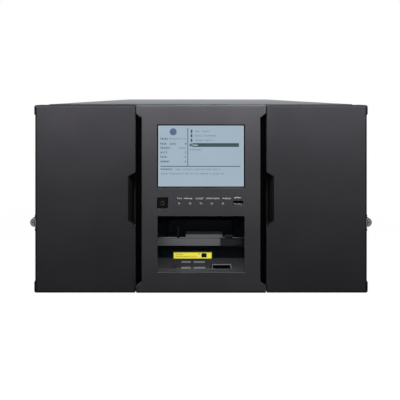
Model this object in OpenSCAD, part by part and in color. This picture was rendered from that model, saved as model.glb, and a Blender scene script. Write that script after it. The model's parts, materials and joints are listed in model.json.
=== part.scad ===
// Rack-mounted data tape library, 6U high: two slide-out cartridge magazines, a robot between
// them, three tape drives and two power supplies at the back, and a front bezel with a display
// and a viewing window.  The frame is +Z up with the origin under the middle of the box, and
// the faces of the doors look towards -Y.  Depths are counted backwards from those faces.

/* [Case] */
// Width of the steel case over its top cover
case_w = 438; // [434:1:440]
// Height of the case
case_h = 262.4; // [260:0.2:265]
// Depth from the faces of the doors to the rear panel
case_d = 850; // [845:5:900]
// Thickness of the steel sheet
sheet = 1.2; // [1:0.1:1.5]
// Height of the top cover's side lips
lip_h = 20; // [12:1:22]
// How far the handles stand out behind the rear panel
handle_reach = 28; // [24:1:36]

/* [Front] */
// How far each door stands out past the side of the case
door_overhang = 13.5; // [12:0.25:14.5]
// Width of the centre bezel
bezel_w = 181; // [178:1:182]
// Depth of the doors
door_t = 26; // [24:1:30]
// Wall of the door and bezel mouldings
moulding_wall = 2.5; // [2:0.1:3]
// Radius of the doors' outer corners, seen from the front
moulding_r = 3; // [1:0.5:5]
// Radius of the mouldings' corners beside the gaps
inner_r = 0.8; // [0.5:0.1:2]
// Width of the bevel round each face
bevel_w = 4; // [2:0.5:5]
// Depth of that bevel
bevel_t = 1.2; // [0.6:0.1:2]
// Gap between the bezel and each door
door_gap = 1; // [0.6:0.1:2]
// Gaps below and above the mouldings, within the height of the case
front_clear = [0.2, 0.6];
// Step in the outer edge of each door
edge_step = 1.5; // [0.8:0.1:2]
// Width of the finger recess in each door
recess_w = 9.6; // [8:0.2:12]
// Depth of the finger recess
recess_depth = 12; // [9:0.5:14]
// Width of the slanted wall of the finger recess
recess_slant = 6; // [4:0.5:8]
// Heights of the finger recess at the door's edge
recess_z = [93.4, 167.4];

/* [Vents] */
// Width of the vent channel in each side of the bezel
vent_w = 8.3; // [7:0.1:9]
// Distance of the vent channel's ends from the bottom and the top of the case
vent_margin = [10.4, 12];
// How far each end of the channel slants inwards
vent_slant = 6; // [3:0.5:8]
// Depth of the honeycomb below the face
grille_depth = 9; // [6:0.5:12]
// Thickness of the honeycomb
grille_t = 2; // [1.5:0.1:3]
// Pitch of the honeycomb cells
cell_pitch = 5.4; // [5:0.1:6]
// Wall between two cells
cell_wall = 0.9; // [0.7:0.1:1.2]

/* [Rack fixing] */
// Height of one rack unit
rack_unit = 44.45; // [44:0.05:45]
// Height of the thumbscrews above the base
thumb_z = 97.6; // [95:0.1:99]
// How far each rack ear stands out past the side of the case
ear_w = 17.5; // [16.5:0.5:19.5]
// Distance of the rack holes from an ear's outer edge; a 19-inch rack's holes lie 465.1 apart
rack_hole_edge = 3.95; // [3.5:0.05:4.5]
// Thickness of the rack ears
ear_t = 2; // [1.5:0.1:2.5]
// Length of each ear along the side of the case
ear_leg = 92; // [60:1:120]
// Radius of a thumbscrew's head
knob_r = 6.5; // [6:0.1:7.5]
// Length of a thumbscrew's head
knob_l = 14; // [10:0.5:16]
// Depth of a thumbscrew's head below the door's face
knob_depth = 3.2; // [3:0.1:5]
// Radius of a thumbscrew's threaded end
thumb_r = 3; // [2.5:0.1:3.2]
// Length of the threaded end behind the ear
thumb_reach = 14; // [10:1:18]
// Radius of the pocket in each door's edge, round its thumbscrew
notch_r = 10; // [9:0.5:11]
// Depth of the finger scallop in the door's face, in front of that pocket
scallop = 0.9; // [0.5:0.1:1.5]

/* [Display and controls] */
// Width and height of the display's lit area
screen = [119, 84.8];
// Distance from the top of the case down to the lit area
screen_drop = 29.4; // [28:0.2:31]
// Black frame round the lit area
screen_frame = 1.6; // [1:0.1:2.5]
// Thickness of the display module
screen_t = 8; // [6:0.5:10]
// Side of the square power button
button_side = 15; // [13:0.5:16]
// Distance from the lit area down to the line of the button, lights and socket
control_drop = 22.8; // [21:0.2:24]
// Place of the power button on that line
button_x = -53.5; // [-54:0.5:-51]
// Travel of the power button
button_travel = 2.5; // [1.5:0.1:3]
// Radius of a status light
light_r = 2; // [1.5:0.1:2.4]
// Distance between two status lights
light_pitch = 15.2; // [13:0.1:15.4]
// Outer size of the USB socket's shell, across and up
usb_size = [13.1, 5.7];
// Place of the USB socket on the line of controls
usb_x = 51.3; // [49:0.1:53]
// Width of the viewing window
window_w = 121.3; // [119:0.1:123]
// Height of the window's lower edge
window_z = 29.1; // [27:0.1:30]
// Distance from the line of controls down to the window
window_drop = 18.3; // [16:0.1:20]
// Thickness of the window pane
pane_t = 2; // [1.5:0.1:3]
// Depth of the front of the control board
board_y = 20; // [18:0.5:22]
// Thickness of the control board
board_t = 1.6; // [1.2:0.1:2]

/* [Magazines] */
// Size of a cartridge: depth into its slot, width and thickness
cartridge = [102, 105.4, 21.5];
// Chamfer on a cartridge's corners
cartridge_chamfer = 2.5; // [1:0.5:4]
// Play beside and above a cartridge
slot_play = 0.7; // [0.5:0.1:0.9]
// Thickness of a shelf
shelf_t = 1.2; // [1:0.1:1.4]
// Thickness of a divider
divider_t = 3; // [2.5:0.1:3.5]
// Thickness of the magazine's floor, top and walls
tray_t = 2; // [1.5:0.1:2.4]
// Height of the magazine's floor above the base
tray_z = 10; // [9.6:0.1:10.2]
// Depth of the first divider
first_divider = 71; // [69:1:73]
// How far the cartridges stand out of the magazine's open side
cartridge_proud = 0.8; // [0.5:0.1:1]
// Space over the magazine's top, up to the cover
mag_headroom = 4; // [3:0.5:6]
// Width of a runner under the magazine
runner_w = 4; // [3:0.5:5]

/* [Robot] */
// Row of slots that the robot stands at
home_row = 2; // [2:1:3]
// Module of the lift gearing
gear_module = 1.5; // [1.4:0.05:1.5]
// Teeth on a lift pinion
pinion_teeth = 14; // [12:1:14]
// Width of a lift pinion
pinion_w = 5.4; // [4:0.1:5.6]
// Backlash of the lift gearing
backlash = 0.3; // [0.2:0.05:0.4]
// Thickness of a lift rack behind its teeth
rack_t = 3.3; // [2.5:0.1:3.5]
// Radius of the lift shafts
shaft_r = 3; // [2.5:0.1:3.2]
// Radius of the guide rods
rod_r = 2.5; // [2:0.1:2.6]
// Distance of a guide rod from the end of the robot's frame
rod_inset = 14; // [13.5:0.1:15]
// Length of the cartridge pocket
pocket_l = 106; // [104:1:108]
// Thickness of the pocket's side walls
pocket_wall = 2.6; // [2:0.1:3]
// Radius of the turntable
table_r = 50; // [40:1:52]
// Width of the gripper
gripper_w = 44; // [36:1:50]

/* [Back] */
// Least depth behind the magazines, for the drives and the power supplies
back_l = 325; // [310:5:330]
// Drive bays, one above the other
drive_bays = 6; // [6:1:6]
// Drives fitted, from the lowest bay up
drives = 3; // [3:1:3]
// Width of a tape drive
drive_w = 146; // [140:1:147]
// Length of a tape drive
drive_l = 222; // [200:1:240]
// Length of a power supply
supply_l = 250; // [200:5:260]
// Height of a power supply
supply_h = 60; // [56:1:64]
// Radius of a power supply's fan
fan_r = 24.5; // [20:0.5:25]
// Blades of a fan
fan_blades = 7; // [5:1:9]

/* [Hidden] */

left = -1;
right = 1;
clear = 0.3;               // gap that a moving piece keeps from its seat
eps = 0.5;                 // how far a cut runs past the face that it opens

overall_d = case_d + handle_reach;
vent_pitch = 12;           // pitch of the slots in the case

// Colours
door_grey = "#3a3b3d";
bezel_grey = "#4a4b4e";
cover_grey = "#9ca1a6";
steel_grey = "#8d9196";
zinc_grey = "#b9bcc0";
black_plastic = "#1b1c1e";
robot_grey = "#c3c6ca";
board_green = "#1f4a33";
label_yellow = "#f2c230";
rod_steel = "#d5d8dc";

// Case
pan_half = case_w / 2 - sheet;
pan_inner = pan_half - sheet;
frame_y = door_t + 1;
pan_y = frame_y + sheet;
rear_y = case_d - sheet;
lid_z = case_h - sheet;

// Front mouldings
front_half = case_w / 2 + door_overhang;
bezel_half = bezel_w / 2;
door_in = bezel_half + door_gap;
front_z = [front_clear[0], case_h - front_clear[1]];
edge_step_z = [16, case_h - 14];
rib_zs = [60, case_h - 60];
screen_x = [-screen[0] / 2, screen[0] / 2];
screen_zz = [case_h - screen_drop - screen[1], case_h - screen_drop];
control_z = screen_zz[0] - control_drop;
window_x = [-window_w / 2, window_w / 2];
window_zz = [window_z, control_z - window_drop];
vent_z = [vent_margin[0], case_h - vent_margin[1]];
vent_in = bezel_half - vent_w;
vent_chamfer = 2;
board_half = bezel_half - 20.5;
board_z = [control_z - 11, screen_zz[1] + 9.4];
switch_t = 3.6;

// Rack fixing
ear_slots = [thumb_z, thumb_z + 2 * rack_unit];
ear_half = case_w / 2 + ear_w;
ear_z = [8, case_h - lip_h - 4];
thumb_x = ear_half - rack_hole_edge;
ear_y = [pan_y, pan_y + ear_t];
slot_half = thumb_r + 0.5;
collar_r = thumb_r + 2.5;
knob_y = [knob_depth, knob_depth + knob_l];

// Magazines
mag_out = pan_inner - 1.1;
mag_wall_in = mag_out - tray_t;
slot_floor_z = tray_z + tray_t;
row_pitch = cartridge[2] + shelf_t + slot_play;
column_pitch = cartridge[1] + divider_t + 2 * slot_play + 0.2;
rows = floor((lid_z - mag_headroom - tray_t - slot_floor_z) / row_pitch);
columns = floor((case_d - back_l - first_divider - divider_t) / column_pitch);
mag_top_z = slot_floor_z + rows * row_pitch;
mag_end = first_divider + columns * column_pitch + divider_t;
cartridge_in = mag_wall_in - clear - cartridge[0];
mag_in = cartridge_in + cartridge_proud;
runner_z = sheet + clear;
runner_xs = [mag_in + 14, mag_out - 12];
empty_slots = [[left, 1, 2], [right, 0, 6]];

// Robot
bay_half = mag_in - 1.5;
home_z = slot_floor_z + home_row * row_pitch;
pitch_r = gear_module * pinion_teeth / 2;
rack_pitch = PI * gear_module;
pinion_tip = 0.9 * gear_module;
pinion_root = 1.15 * gear_module;
rack_tip = 0.72 * gear_module;
rack_root = 1.15 * gear_module;
pressure_angle = 20;
front_line = pan_y + rack_t + rack_root;
front_axis_y = front_line + pitch_r;
rear_axis_y = mag_end + 18;
rear_line = rear_axis_y + pitch_r;
beam_half = bay_half - 10.5;
gear_x = [beam_half + 2.3, beam_half + 2.3 + pinion_w];
rack_x = [beam_half + 2, beam_half + 8];
frame_low = home_z - 7.4;              // lowest height of the robot's frame at home
rail_z = [frame_low, home_z - 1.4];
axis_z = home_z + 5.2;
beam_z = [home_z - 3.4, home_z + 7.2];
beam_t = 1.5;
front_beam_y = [front_axis_y - 9.7, front_axis_y + 3];
clamp_l = 10;
front_end_y = front_beam_y[1] + 9;
rear_beam_y = [rear_axis_y - 12, rear_axis_y + 9];
rail_x = [beam_half - 6, beam_half];
rod_x = beam_half - rod_inset;
rod_z = (rail_z[0] + rail_z[1]) / 2 + 0.2;
carriage_y = first_divider + divider_t + (column_pitch - divider_t) / 2;
carriage_half_l = 58;
bushing_x = [rod_x - 4.5, rod_x + 4.5];
plate_z = [frame_low + 0.6, frame_low + 3.4];
table_z = [plate_z[1] + clear, home_z - 1.8];
pocket_floor_z = [table_z[1], home_z - 0.3];
pocket_top_z = home_z + cartridge[2] + 1.7;
pocket_in = cartridge[1] / 2 + slot_play;
pocket_out = pocket_in + pocket_wall;
spigot_r = 8;
pocket_back = 2;
gripper_y = [pocket_back + 1 - pocket_l / 2, pocket_back + 11 - pocket_l / 2];
gripper_z = [pocket_floor_z[1] + clear, home_z + 18];
finger_x = [14, 18];
finger_l = 14;
pocket_corner = 8;                     // cut off each corner of the pocket's floor, to turn freely
finger_z = [home_z + 4, home_z + 14];
tenon_z = [home_z + 7.5, home_z + 10.5];
tenon_l = 4;
motor_x = [beam_half - 122, beam_half - 68];
home_pin_x = beam_half - 133;
lug_x = [beam_half - 37.4, beam_half - 34];
end_t = 3.5;
bearing_xs = [31 - beam_half, beam_half - 59];
bearing_half = 6;
bore_play = 0.4;                       // play of a shaft in its bearing
end_rise = 7;                          // from a shaft's axis to the top of its end plate
rod_play = 0.1;                        // play of a guide rod in its clamp
bushing_l = 24;
cable_cover_x = [29, beam_half - 1];

// Back
cage_half = drive_w / 2 + 5;
cage_z0 = 4;
bay_pitch = (lid_z - cage_z0 - 5.8) / drive_bays;
cage_front_y = rear_axis_y + 26;
drive_half = drive_w / 2;
drive_y = rear_axis_y + 26;
ledge_t = 1;
plate_y = [case_d, case_d + 1.5];
bay_plate_half = cage_half + 2;
slot_w = cartridge[1] + 1.6;
slot_h = cartridge[2] + 1.5;
slot_l = cartridge[0] + 2;
slot_lift = 8;
psu_xs = [8.6 - pan_inner, -cage_half - 10];
psu_x = (psu_xs[0] + psu_xs[1]) / 2;
psu_half = (psu_xs[1] - psu_xs[0]) / 2;
psu_gap = 8;
psu_z = [14, 14 + supply_h + psu_gap];
psu_y = case_d - supply_l;
fan_depth = 18;
latch_x = [psu_x + 44, psu_x + 54];
latch_z = [24, 50];
latch_r = 2.4;
latch_out = 3.5;
pin_r = 1.5;
inlet_x = [psu_x + 11.8, psu_x + 36.2];
inlet_z = [31.5, 48.5];
inlet_l = 20;
blade_l = 13;
blade_spacing = 7;
port_x = [-66, -44];
port_h = 7.5;
port_l = 14;
screw_head = [4, 9];                   // radius and length of a captive screw's head
controller_z = [psu_z[1] + supply_h + 10, case_h - 10];
controller_half = psu_half + 2;
controller_l = 210;
jack_w = 16;
jack_xs = [psu_x - 40, psu_x - 20];
jack_z = [controller_z[0] + 38, controller_z[0] + 52];
grip_r = 3;
grip_y = case_d + handle_reach - grip_r;

// ---- Shapes -----------------------------------------------------------------------------

module from_front() {
    translate([0, -overall_d / 2, 0]) children();
}

module on_side(side) {
    if (side < 0) mirror([1, 0, 0]) children();
    else children();
}

module both_sides() {
    for (side = [left, right]) on_side(side) children();
}

// A box between two values on each axis
module block(x, y, z) {
    translate([x[0], y[0], z[0]])
        cube([x[1] - x[0], y[1] - y[0], z[1] - z[0]]);
}

module bar_x(r, x, y, z) {
    translate([x[0], y, z]) rotate([0, 90, 0]) cylinder(r = r, h = x[1] - x[0], $fn = 48);
}

module bar_y(r, x, y, z) {
    translate([x, y[0], z]) rotate([-90, 0, 0]) cylinder(r = r, h = y[1] - y[0], $fn = 48);
}

module bar_z(r, x, y, z) {
    translate([x, y, z[0]]) cylinder(r = r, h = z[1] - z[0], $fn = 48);
}

// An outline in X and Z, extruded from one depth to another
module extrude_y(y) {
    translate([0, y[1], 0]) rotate([90, 0, 0]) linear_extrude(y[1] - y[0]) children();
}

// An outline in Y and Z, extruded sideways
module extrude_x(x) {
    translate([x[0], 0, 0]) rotate([90, 0, 90]) linear_extrude(x[1] - x[0]) children();
}

// An outline in X and Y, extruded upwards
module extrude_z(z) {
    translate([0, 0, z[0]]) linear_extrude(z[1] - z[0]) children();
}

module rectangle(x, y) {
    translate([x[0], y[0]]) square([x[1] - x[0], y[1] - y[0]]);
}

module rounded_rectangle(x, y, r) {
    rounded_ends(x, y, [r, r]);
}

// A rectangle whose corners have one radius at its low end in X and another at its high end
module rounded_ends(x, y, r) {
    rectangle([x[0] + r[0], x[1] - r[1]], y);
    rectangle([x[0], x[1] - r[1]], [y[0] + r[0], y[1] - r[0]]);
    rectangle([x[0] + r[0], x[1]], [y[0] + r[1], y[1] - r[1]]);
    for (cy = [y[0] + r[0], y[1] - r[0]]) translate([x[0] + r[0], cy]) circle(r = r[0], $fn = 32);
    for (cy = [y[0] + r[1], y[1] - r[1]]) translate([x[1] - r[1], cy]) circle(r = r[1], $fn = 32);
}

// A range made larger (or smaller) by the same amount at both ends
function grown(range, by) = [range[0] - by, range[1] + by];

// ---- Case -------------------------------------------------------------------------------

module side_wall_outline() {
    count = floor((supply_l - 34) / vent_pitch);
    slot = (case_h - 86 - 2 * vent_pitch) / 3;
    difference() {
        rectangle([pan_y, rear_y], [0, lid_z]);
        for (i = [0:count - 1], j = [0:2])
            translate([psu_y + i * vent_pitch, 40 + j * (slot + vent_pitch)])
                square([vent_pitch / 2, slot]);
    }
}

module floor_emboss(x, y) {
    emboss_r = 3;
    for (cx = [x[0] + emboss_r, x[1] - emboss_r])
        bar_z(emboss_r, cx, y, [sheet / 2, sheet + 0.8]);
    block([x[0] + emboss_r, x[1] - emboss_r], [y - emboss_r, y + emboss_r],
          [sheet / 2, sheet + 0.8]);
}

module base_pan() {
    from_front() color(steel_grey) {
        block([-pan_half, pan_half], [pan_y, rear_y], [0, sheet]);
        for (side = [left, right])
            on_side(side) extrude_x([pan_inner, pan_half]) side_wall_outline();
        for (y = [84, 117]) {
            floor_emboss([-30, -15], y);
            floor_emboss([-10, 8], y);
        }
        extrude_z([sheet / 2, sheet + 0.6]) difference() {
            rounded_rectangle([19, 50], [74, 107], 2);
            rounded_rectangle([20.5, 48.5], [75.5, 105.5], 1);
        }
    }
}

module top_cover() {
    from_front() color(cover_grey) {
        block([-case_w / 2, case_w / 2], [frame_y, case_d], [lid_z, case_h]);
        both_sides()
            block([pan_half, case_w / 2], [pan_y + 6, case_d], [case_h - lip_h, lid_z]);
    }
}

module rear_vent() {
    edge = cage_half + 14;
    count = floor((pan_inner - edge) / vent_pitch);
    gap = 14;
    slot = (case_h - 46 - 2 * gap) / 3;
    for (i = [0:count - 1], j = [0:2])
        translate([edge + i * vent_pitch, 20 + j * (slot + gap)]) square([vent_pitch / 2, slot]);
}

module rear_panel() {
    opening = psu_half + 0.5;
    from_front() color(steel_grey) extrude_y([rear_y, case_d]) difference() {
        rectangle([-pan_half, pan_half], [0, lid_z]);
        rectangle([-cage_half + 1.5, cage_half - 1.5], [cage_z0, cage_z0 + drive_bays * bay_pitch]);
        for (z = psu_z)
            rectangle([psu_x - opening, psu_x + opening], [z - 0.5, z + supply_h + 0.5]);
        rectangle([psu_x - controller_half - 0.5, psu_x + controller_half + 0.5],
                  grown(controller_z, 0.5));
        rear_vent();
    }
}

module front_frame() {
    from_front() color(steel_grey) extrude_y([frame_y, pan_y]) difference() {
        rectangle([-pan_half, pan_half], [0, lid_z]);
        for (side = [left, right])
            mirror([side < 0 ? 1 : 0, 0]) rectangle([bay_half, pan_inner], [sheet, mag_top_z + 6]);
        rectangle(grown(window_x, 5), grown(window_zz, 5));
        rectangle(grown(screen_x, -4), grown(screen_zz, -2));
    }
}

module rack_ear(side) {
    from_front() on_side(side) color(steel_grey) difference() {
        union() {
            block([pan_half, ear_half], ear_y, ear_z);
            block([case_w / 2, case_w / 2 + ear_t], [ear_y[0], ear_y[0] + ear_leg],
                  [ear_z[0], case_h - lip_h - 1]);
            block([pan_half, case_w / 2 + eps], [ear_y[0], ear_y[0] + ear_leg],
                  [ear_z[0], case_h - lip_h - 1]);
        }
        for (z = ear_slots) {
            block([thumb_x, ear_half + eps], grown(ear_y, eps), [z - slot_half, z + slot_half]);
            bar_y(slot_half, thumb_x, grown(ear_y, eps), z);
        }
    }
}

module case_screws() {
    head_r = 3.2;
    head_t = 1.6;
    first = ear_y[1] + ear_leg + 68;
    last = case_d - 30;
    from_front() color(zinc_grey) {
        for (side = [left, right], i = [0:3])
            on_side(side)
                bar_x(head_r, [case_w / 2, case_w / 2 + head_t], first + i * (last - first) / 3,
                      case_h - lip_h / 2);
        for (side = [left, right], z = [ear_z[0] + 22, case_h / 2 - 10, ear_z[1] - 26])
            on_side(side)
                bar_x(head_r, [case_w / 2 + ear_t, case_w / 2 + ear_t + head_t],
                      ear_y[1] + ear_leg - 20, z);
    }
}

// ---- Front mouldings --------------------------------------------------------------------

// The section of a moulding with a bevel at both edges of its face
module bevelled_section(a, depth) {
    polygon([
        [a[0], depth], [a[0], bevel_t], [a[0] + bevel_w, 0],
        [a[1] - bevel_w, 0], [a[1], bevel_t], [a[1], depth]
    ]);
}

module moulding(x, z, depth, radii) {
    intersection() {
        extrude_y([0, depth]) rounded_ends(x, z, radii);
        extrude_z(z) bevelled_section(x, depth);
        extrude_x(x) mirror([1, -1]) bevelled_section(z, depth);
    }
}

// The slanted-ended channel beside the bezel
module vent_channel() {
    intersection() {
        extrude_y([-eps, frame_y + eps]) polygon([
            [bezel_half + eps, vent_z[0]], [vent_in, vent_z[0] + vent_slant],
            [vent_in, vent_z[1] - vent_slant], [bezel_half + eps, vent_z[1]]
        ]);
        extrude_z(grown(vent_z, eps)) polygon([
            [vent_in, -eps], [bezel_half + eps, -eps], [bezel_half + eps, frame_y + eps],
            [vent_in + vent_chamfer, frame_y + eps], [vent_in + vent_chamfer, grille_depth]
        ]);
    }
}

module bezel_openings() {
    front = [-eps, moulding_wall + eps];
    extrude_y(front) {
        rectangle(grown(screen_x, screen_frame), grown(screen_zz, screen_frame));
        rectangle(window_x, window_zz);
        rectangle([button_x - button_side / 2 - clear, button_x + button_side / 2 + clear],
                  [control_z - button_side / 2 - clear, control_z + button_side / 2 + clear]);
        rectangle([usb_x - usb_size[0] / 2 - clear, usb_x + usb_size[0] / 2 + clear],
                  [control_z - usb_size[1] / 2 - clear, control_z + usb_size[1] / 2 + clear]);
        for (i = [-2:2])
            translate([i * light_pitch, control_z]) circle(r = light_r + clear, $fn = 32);
    }
}

module front_bezel() {
    inner = vent_in - moulding_wall;
    from_front() color(bezel_grey) difference() {
        moulding([-bezel_half, bezel_half], front_z, frame_y, [inner_r, inner_r]);
        block([-inner, inner], [moulding_wall, frame_y + eps], grown(front_z, -moulding_wall));
        both_sides() vent_channel();
        bezel_openings();
    }
}

module honeycomb_outline() {
    cell_r = (cell_pitch - cell_wall) / sqrt(3);
    column = cell_pitch * sqrt(3) / 2;
    low = vent_z[0] + vent_slant + cell_pitch / 2;
    count = floor((vent_z[1] - vent_z[0] - 2 * vent_slant) / cell_pitch) - 1;
    middle = (vent_in + vent_chamfer + bezel_half - clear) / 2;
    narrowing = 0.8;                   // makes two columns of cells fit the channel's width
    difference() {
        rectangle([vent_in + vent_chamfer, bezel_half - clear],
                  [vent_z[0] + vent_slant, vent_z[1] - vent_slant]);
        for (i = [0:count], j = [0, 1])
            translate([middle + (j - 0.5) * column * narrowing, low + cell_pitch * (i + j / 2)])
                circle(r = cell_r * narrowing * 0.9, $fn = 6);
    }
}

module vent_grilles() {
    from_front() color(black_plastic) both_sides()
        extrude_y([grille_depth, grille_depth + grille_t]) honeycomb_outline();
}

module display_panel() {
    from_front() color(black_plastic)
        block(grown(screen_x, screen_frame + 3), [moulding_wall, moulding_wall + screen_t],
              grown(screen_zz, screen_frame + 3));
}

module control_board() {
    from_front() color(board_green) {
        block([-board_half, board_half], [board_y, board_y + board_t], board_z);
        for (x = [6 - board_half, board_half - 6], z = grown(board_z, -6))
            bar_y(3, x, [board_y + board_t, frame_y], z);
        for (x = [-40, 40], z = grown(screen_zz, -5))
            bar_y(2.5, x, [moulding_wall + screen_t, board_y], z);
        block([button_x - 4, button_x + 4], [board_y - switch_t, board_y],
              [control_z - 4, control_z + 4]);
    }
}

module status_lights() {
    from_front() color("#d8dadd") {
        for (i = [-2:2])
            bar_y(light_r, i * light_pitch, [0.4, board_y], control_z);
        block([-2 * light_pitch, 2 * light_pitch], [board_y - 4, board_y - 2],
              [control_z - light_r / 2, control_z + light_r / 2]);
    }
}

module usb_port() {
    x = [usb_x - usb_size[0] / 2, usb_x + usb_size[0] / 2];
    z = [control_z - usb_size[1] / 2, control_z + usb_size[1] / 2];
    from_front() color(zinc_grey) {
        difference() {
            block(x, [1, board_y], z);
            block(grown(x, -0.4), [0, board_y - 4], grown(z, -0.4));
        }
        block(grown(x, -1), [3, board_y - 3], [control_z + 0.2, control_z + 2]);
    }
}

module viewing_window() {
    from_front() color("#8fa0ad", 0.4)
        block(grown(window_x, 3), [moulding_wall, moulding_wall + pane_t], grown(window_zz, 3));
}

module power_button() {
    half = button_side / 2;
    from_front() color(black_plastic) {
        extrude_y([0.4, 8])
            rounded_rectangle([button_x - half, button_x + half],
                              [control_z - half, control_z + half], 0.8);
        bar_y(2, button_x, [8, board_y - switch_t - button_travel - clear], control_z);
    }
}

// ---- Magazines --------------------------------------------------------------------------

module finger_recess() {
    inner = door_in + recess_w;
    intersection() {
        extrude_y([-eps, recess_depth]) polygon([
            [door_in - eps, recess_z[0]], [inner, recess_z[0] + 7],
            [inner, recess_z[1] - 5], [door_in - eps, recess_z[1]]
        ]);
        extrude_z(recess_z) polygon([
            [door_in - eps, -eps], [inner, -eps], [inner, 0],
            [inner - recess_slant, recess_depth], [door_in - eps, recess_depth]
        ]);
    }
}

module door_form() {
    moulding([door_in, front_half], front_z, door_t, [inner_r, moulding_r]);
}

module door(side) {
    wall = moulding_wall;
    edge_x = front_half - edge_step;
    inner = [door_in + wall, edge_x - wall];
    scallop_r = (notch_r * notch_r + scallop * scallop) / (2 * scallop);
    from_front() on_side(side) color(door_grey) difference() {
        union() {
            difference() {
                door_form();
                block(inner, [wall, door_t + eps], grown(front_z, -wall));
            }
            block([door_in + 1, door_in + recess_w + wall], [1.5, recess_depth + wall],
                  grown(recess_z, wall));
            for (z = rib_zs)
                block(grown(inner, 1), [1.5, door_t], [z, z + 1.6]);
            for (x = [mag_in + 12, mag_out - 12], z = [tray_z + 12, mag_top_z - 10])
                bar_y(5, x, [1.5, door_t], z);
            intersection() {
                door_form();
                bar_y(notch_r + wall, thumb_x, [1, door_t], thumb_z);
            }
        }
        finger_recess();
        bar_y(notch_r, thumb_x, [wall, door_t + eps], thumb_z);
        bar_y(scallop_r, edge_x - scallop + scallop_r, [-eps, wall + eps], thumb_z);
        block([edge_x, front_half + eps], [-eps, door_t + eps], edge_step_z);
    }
}

module magazine_tray(side) {
    from_front() on_side(side) color(black_plastic) {
        block([mag_in, mag_out], [door_t, mag_end], [tray_z, slot_floor_z]);
        block([mag_wall_in, mag_out], [door_t, mag_end], [tray_z, mag_top_z]);
        block([mag_in, mag_out], [door_t, door_t + tray_t], [tray_z, mag_top_z]);
        for (x = runner_xs)
            block([x - runner_w / 2, x + runner_w / 2], [door_t + 6, mag_end],
                  [runner_z, tray_z + eps]);
    }
}

module magazine_top(side) {
    from_front() on_side(side) color(black_plastic)
        block([mag_in, mag_out], [door_t, mag_end], [mag_top_z, mag_top_z + tray_t]);
}

module dividers(side) {
    from_front() on_side(side) color(black_plastic)
        for (i = [0:columns])
            block([mag_in, mag_wall_in],
                  [first_divider + i * column_pitch, first_divider + i * column_pitch + divider_t],
                  [slot_floor_z, mag_top_z]);
}

function slot_y(column) = first_divider + divider_t + column * column_pitch;
function slot_z(row) = slot_floor_z + row * row_pitch;

module shelves(side) {
    from_front() on_side(side) color(black_plastic)
        for (column = [0:columns - 1], row = [1:rows - 1])
            block([mag_in, mag_wall_in],
                  [slot_y(column), slot_y(column) + column_pitch - divider_t],
                  [slot_z(row) - shelf_t, slot_z(row)]);
}

module cartridge_shell() {
    c = cartridge_chamfer;
    linear_extrude(cartridge[2]) polygon([
        [0, c], [c, 0], [cartridge[0] - c, 0], [cartridge[0], c],
        [cartridge[0], cartridge[1] - c], [cartridge[0] - c, cartridge[1]],
        [c, cartridge[1]], [0, cartridge[1] - c]
    ]);
}

function is_empty(side, column, row) =
    len([for (slot = empty_slots) if (slot == [side, column, row]) 1]) > 0;

module cartridges(side) {
    play = (column_pitch - divider_t - cartridge[1]) / 2;
    from_front() on_side(side) color("#26282b")
        for (column = [0:columns - 1], row = [0:rows - 1])
            if (!is_empty(side, column, row))
                translate([cartridge_in, slot_y(column) + play, slot_z(row)]) cartridge_shell();
}

module magazine_guides() {
    play = 0.4;
    guide_w = 2.5;
    from_front() color(zinc_grey) both_sides()
        for (x = runner_xs, s = [-1, 1]) {
            edge = x + s * (runner_w / 2 + play + guide_w / 2);
            block([edge - guide_w / 2, edge + guide_w / 2], [pan_y, mag_end], [sheet, tray_z - 2]);
        }
}

// ---- Robot ------------------------------------------------------------------------------

// Rack teeth in Y and Z: the body lies on the -Y side of the pitch line at y = 0
module rack_outline(z) {
    slope = tan(pressure_angle);
    half = (rack_pitch / 2 - backlash / 2) / 2;
    tip = half - rack_tip * slope;
    root = half + rack_root * slope;
    first = ceil((z[0] + root - axis_z) / rack_pitch - 0.5);
    last = floor((z[1] - root - axis_z) / rack_pitch - 0.5);
    polygon(concat(
        [[-rack_root - rack_t, z[0]], [-rack_root, z[0]]],
        [for (i = [first:last], p = [[-rack_root, -root], [rack_tip, -tip],
                                     [rack_tip, tip], [-rack_root, root]])
            [p[0], p[1] + axis_z + (i + 0.5) * rack_pitch]],
        [[-rack_root, z[1]], [-rack_root - rack_t, z[1]]]
    ));
}

module lift_racks() {
    from_front() color(rod_steel) both_sides() {
        translate([0, front_line, 0]) extrude_x(rack_x) rack_outline([sheet, lid_z]);
        translate([0, rear_line, 0]) mirror([0, 1, 0]) extrude_x(rack_x)
            rack_outline([sheet, lid_z]);
    }
}

// The involute of the base circle: degrees turned at a radius
function involute(r, base) =
    let (t = sqrt(max(0, (r / base) * (r / base) - 1))) t * 180 / PI - atan(t);

module pinion_outline() {
    base = pitch_r * cos(pressure_angle);
    steps = 4;
    half = (rack_pitch / 2 - backlash / 2) / 2 / pitch_r * 180 / PI + involute(pitch_r, base);
    root_r = pitch_r - pinion_root;
    tip_r = pitch_r + pinion_tip;
    flank = concat(
        [[root_r, half]],
        [for (i = [0:steps]) let (r = base + (tip_r - base) * i / steps)
            [r, half - involute(r, base)]]
    );
    last = len(flank) - 1;
    polygon([
        for (tooth = [0:pinion_teeth - 1], i = [0:2 * last + 1])
            let (p = i <= last ? flank[i] : flank[2 * last + 1 - i],
                 a = tooth * 360 / pinion_teeth + (i <= last ? -p[1] : p[1]))
            [p[0] * cos(a), p[0] * sin(a)]
    ]);
}

module pinion(x) {
    hex_r = shaft_r + 0.4;
    extrude_x(x) difference() {
        pinion_outline();
        circle(r = hex_r, $fn = 6);
    }
}

module hex_end(x) {
    extrude_x(x) circle(r = shaft_r + 0.4, $fn = 6);
}

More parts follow.
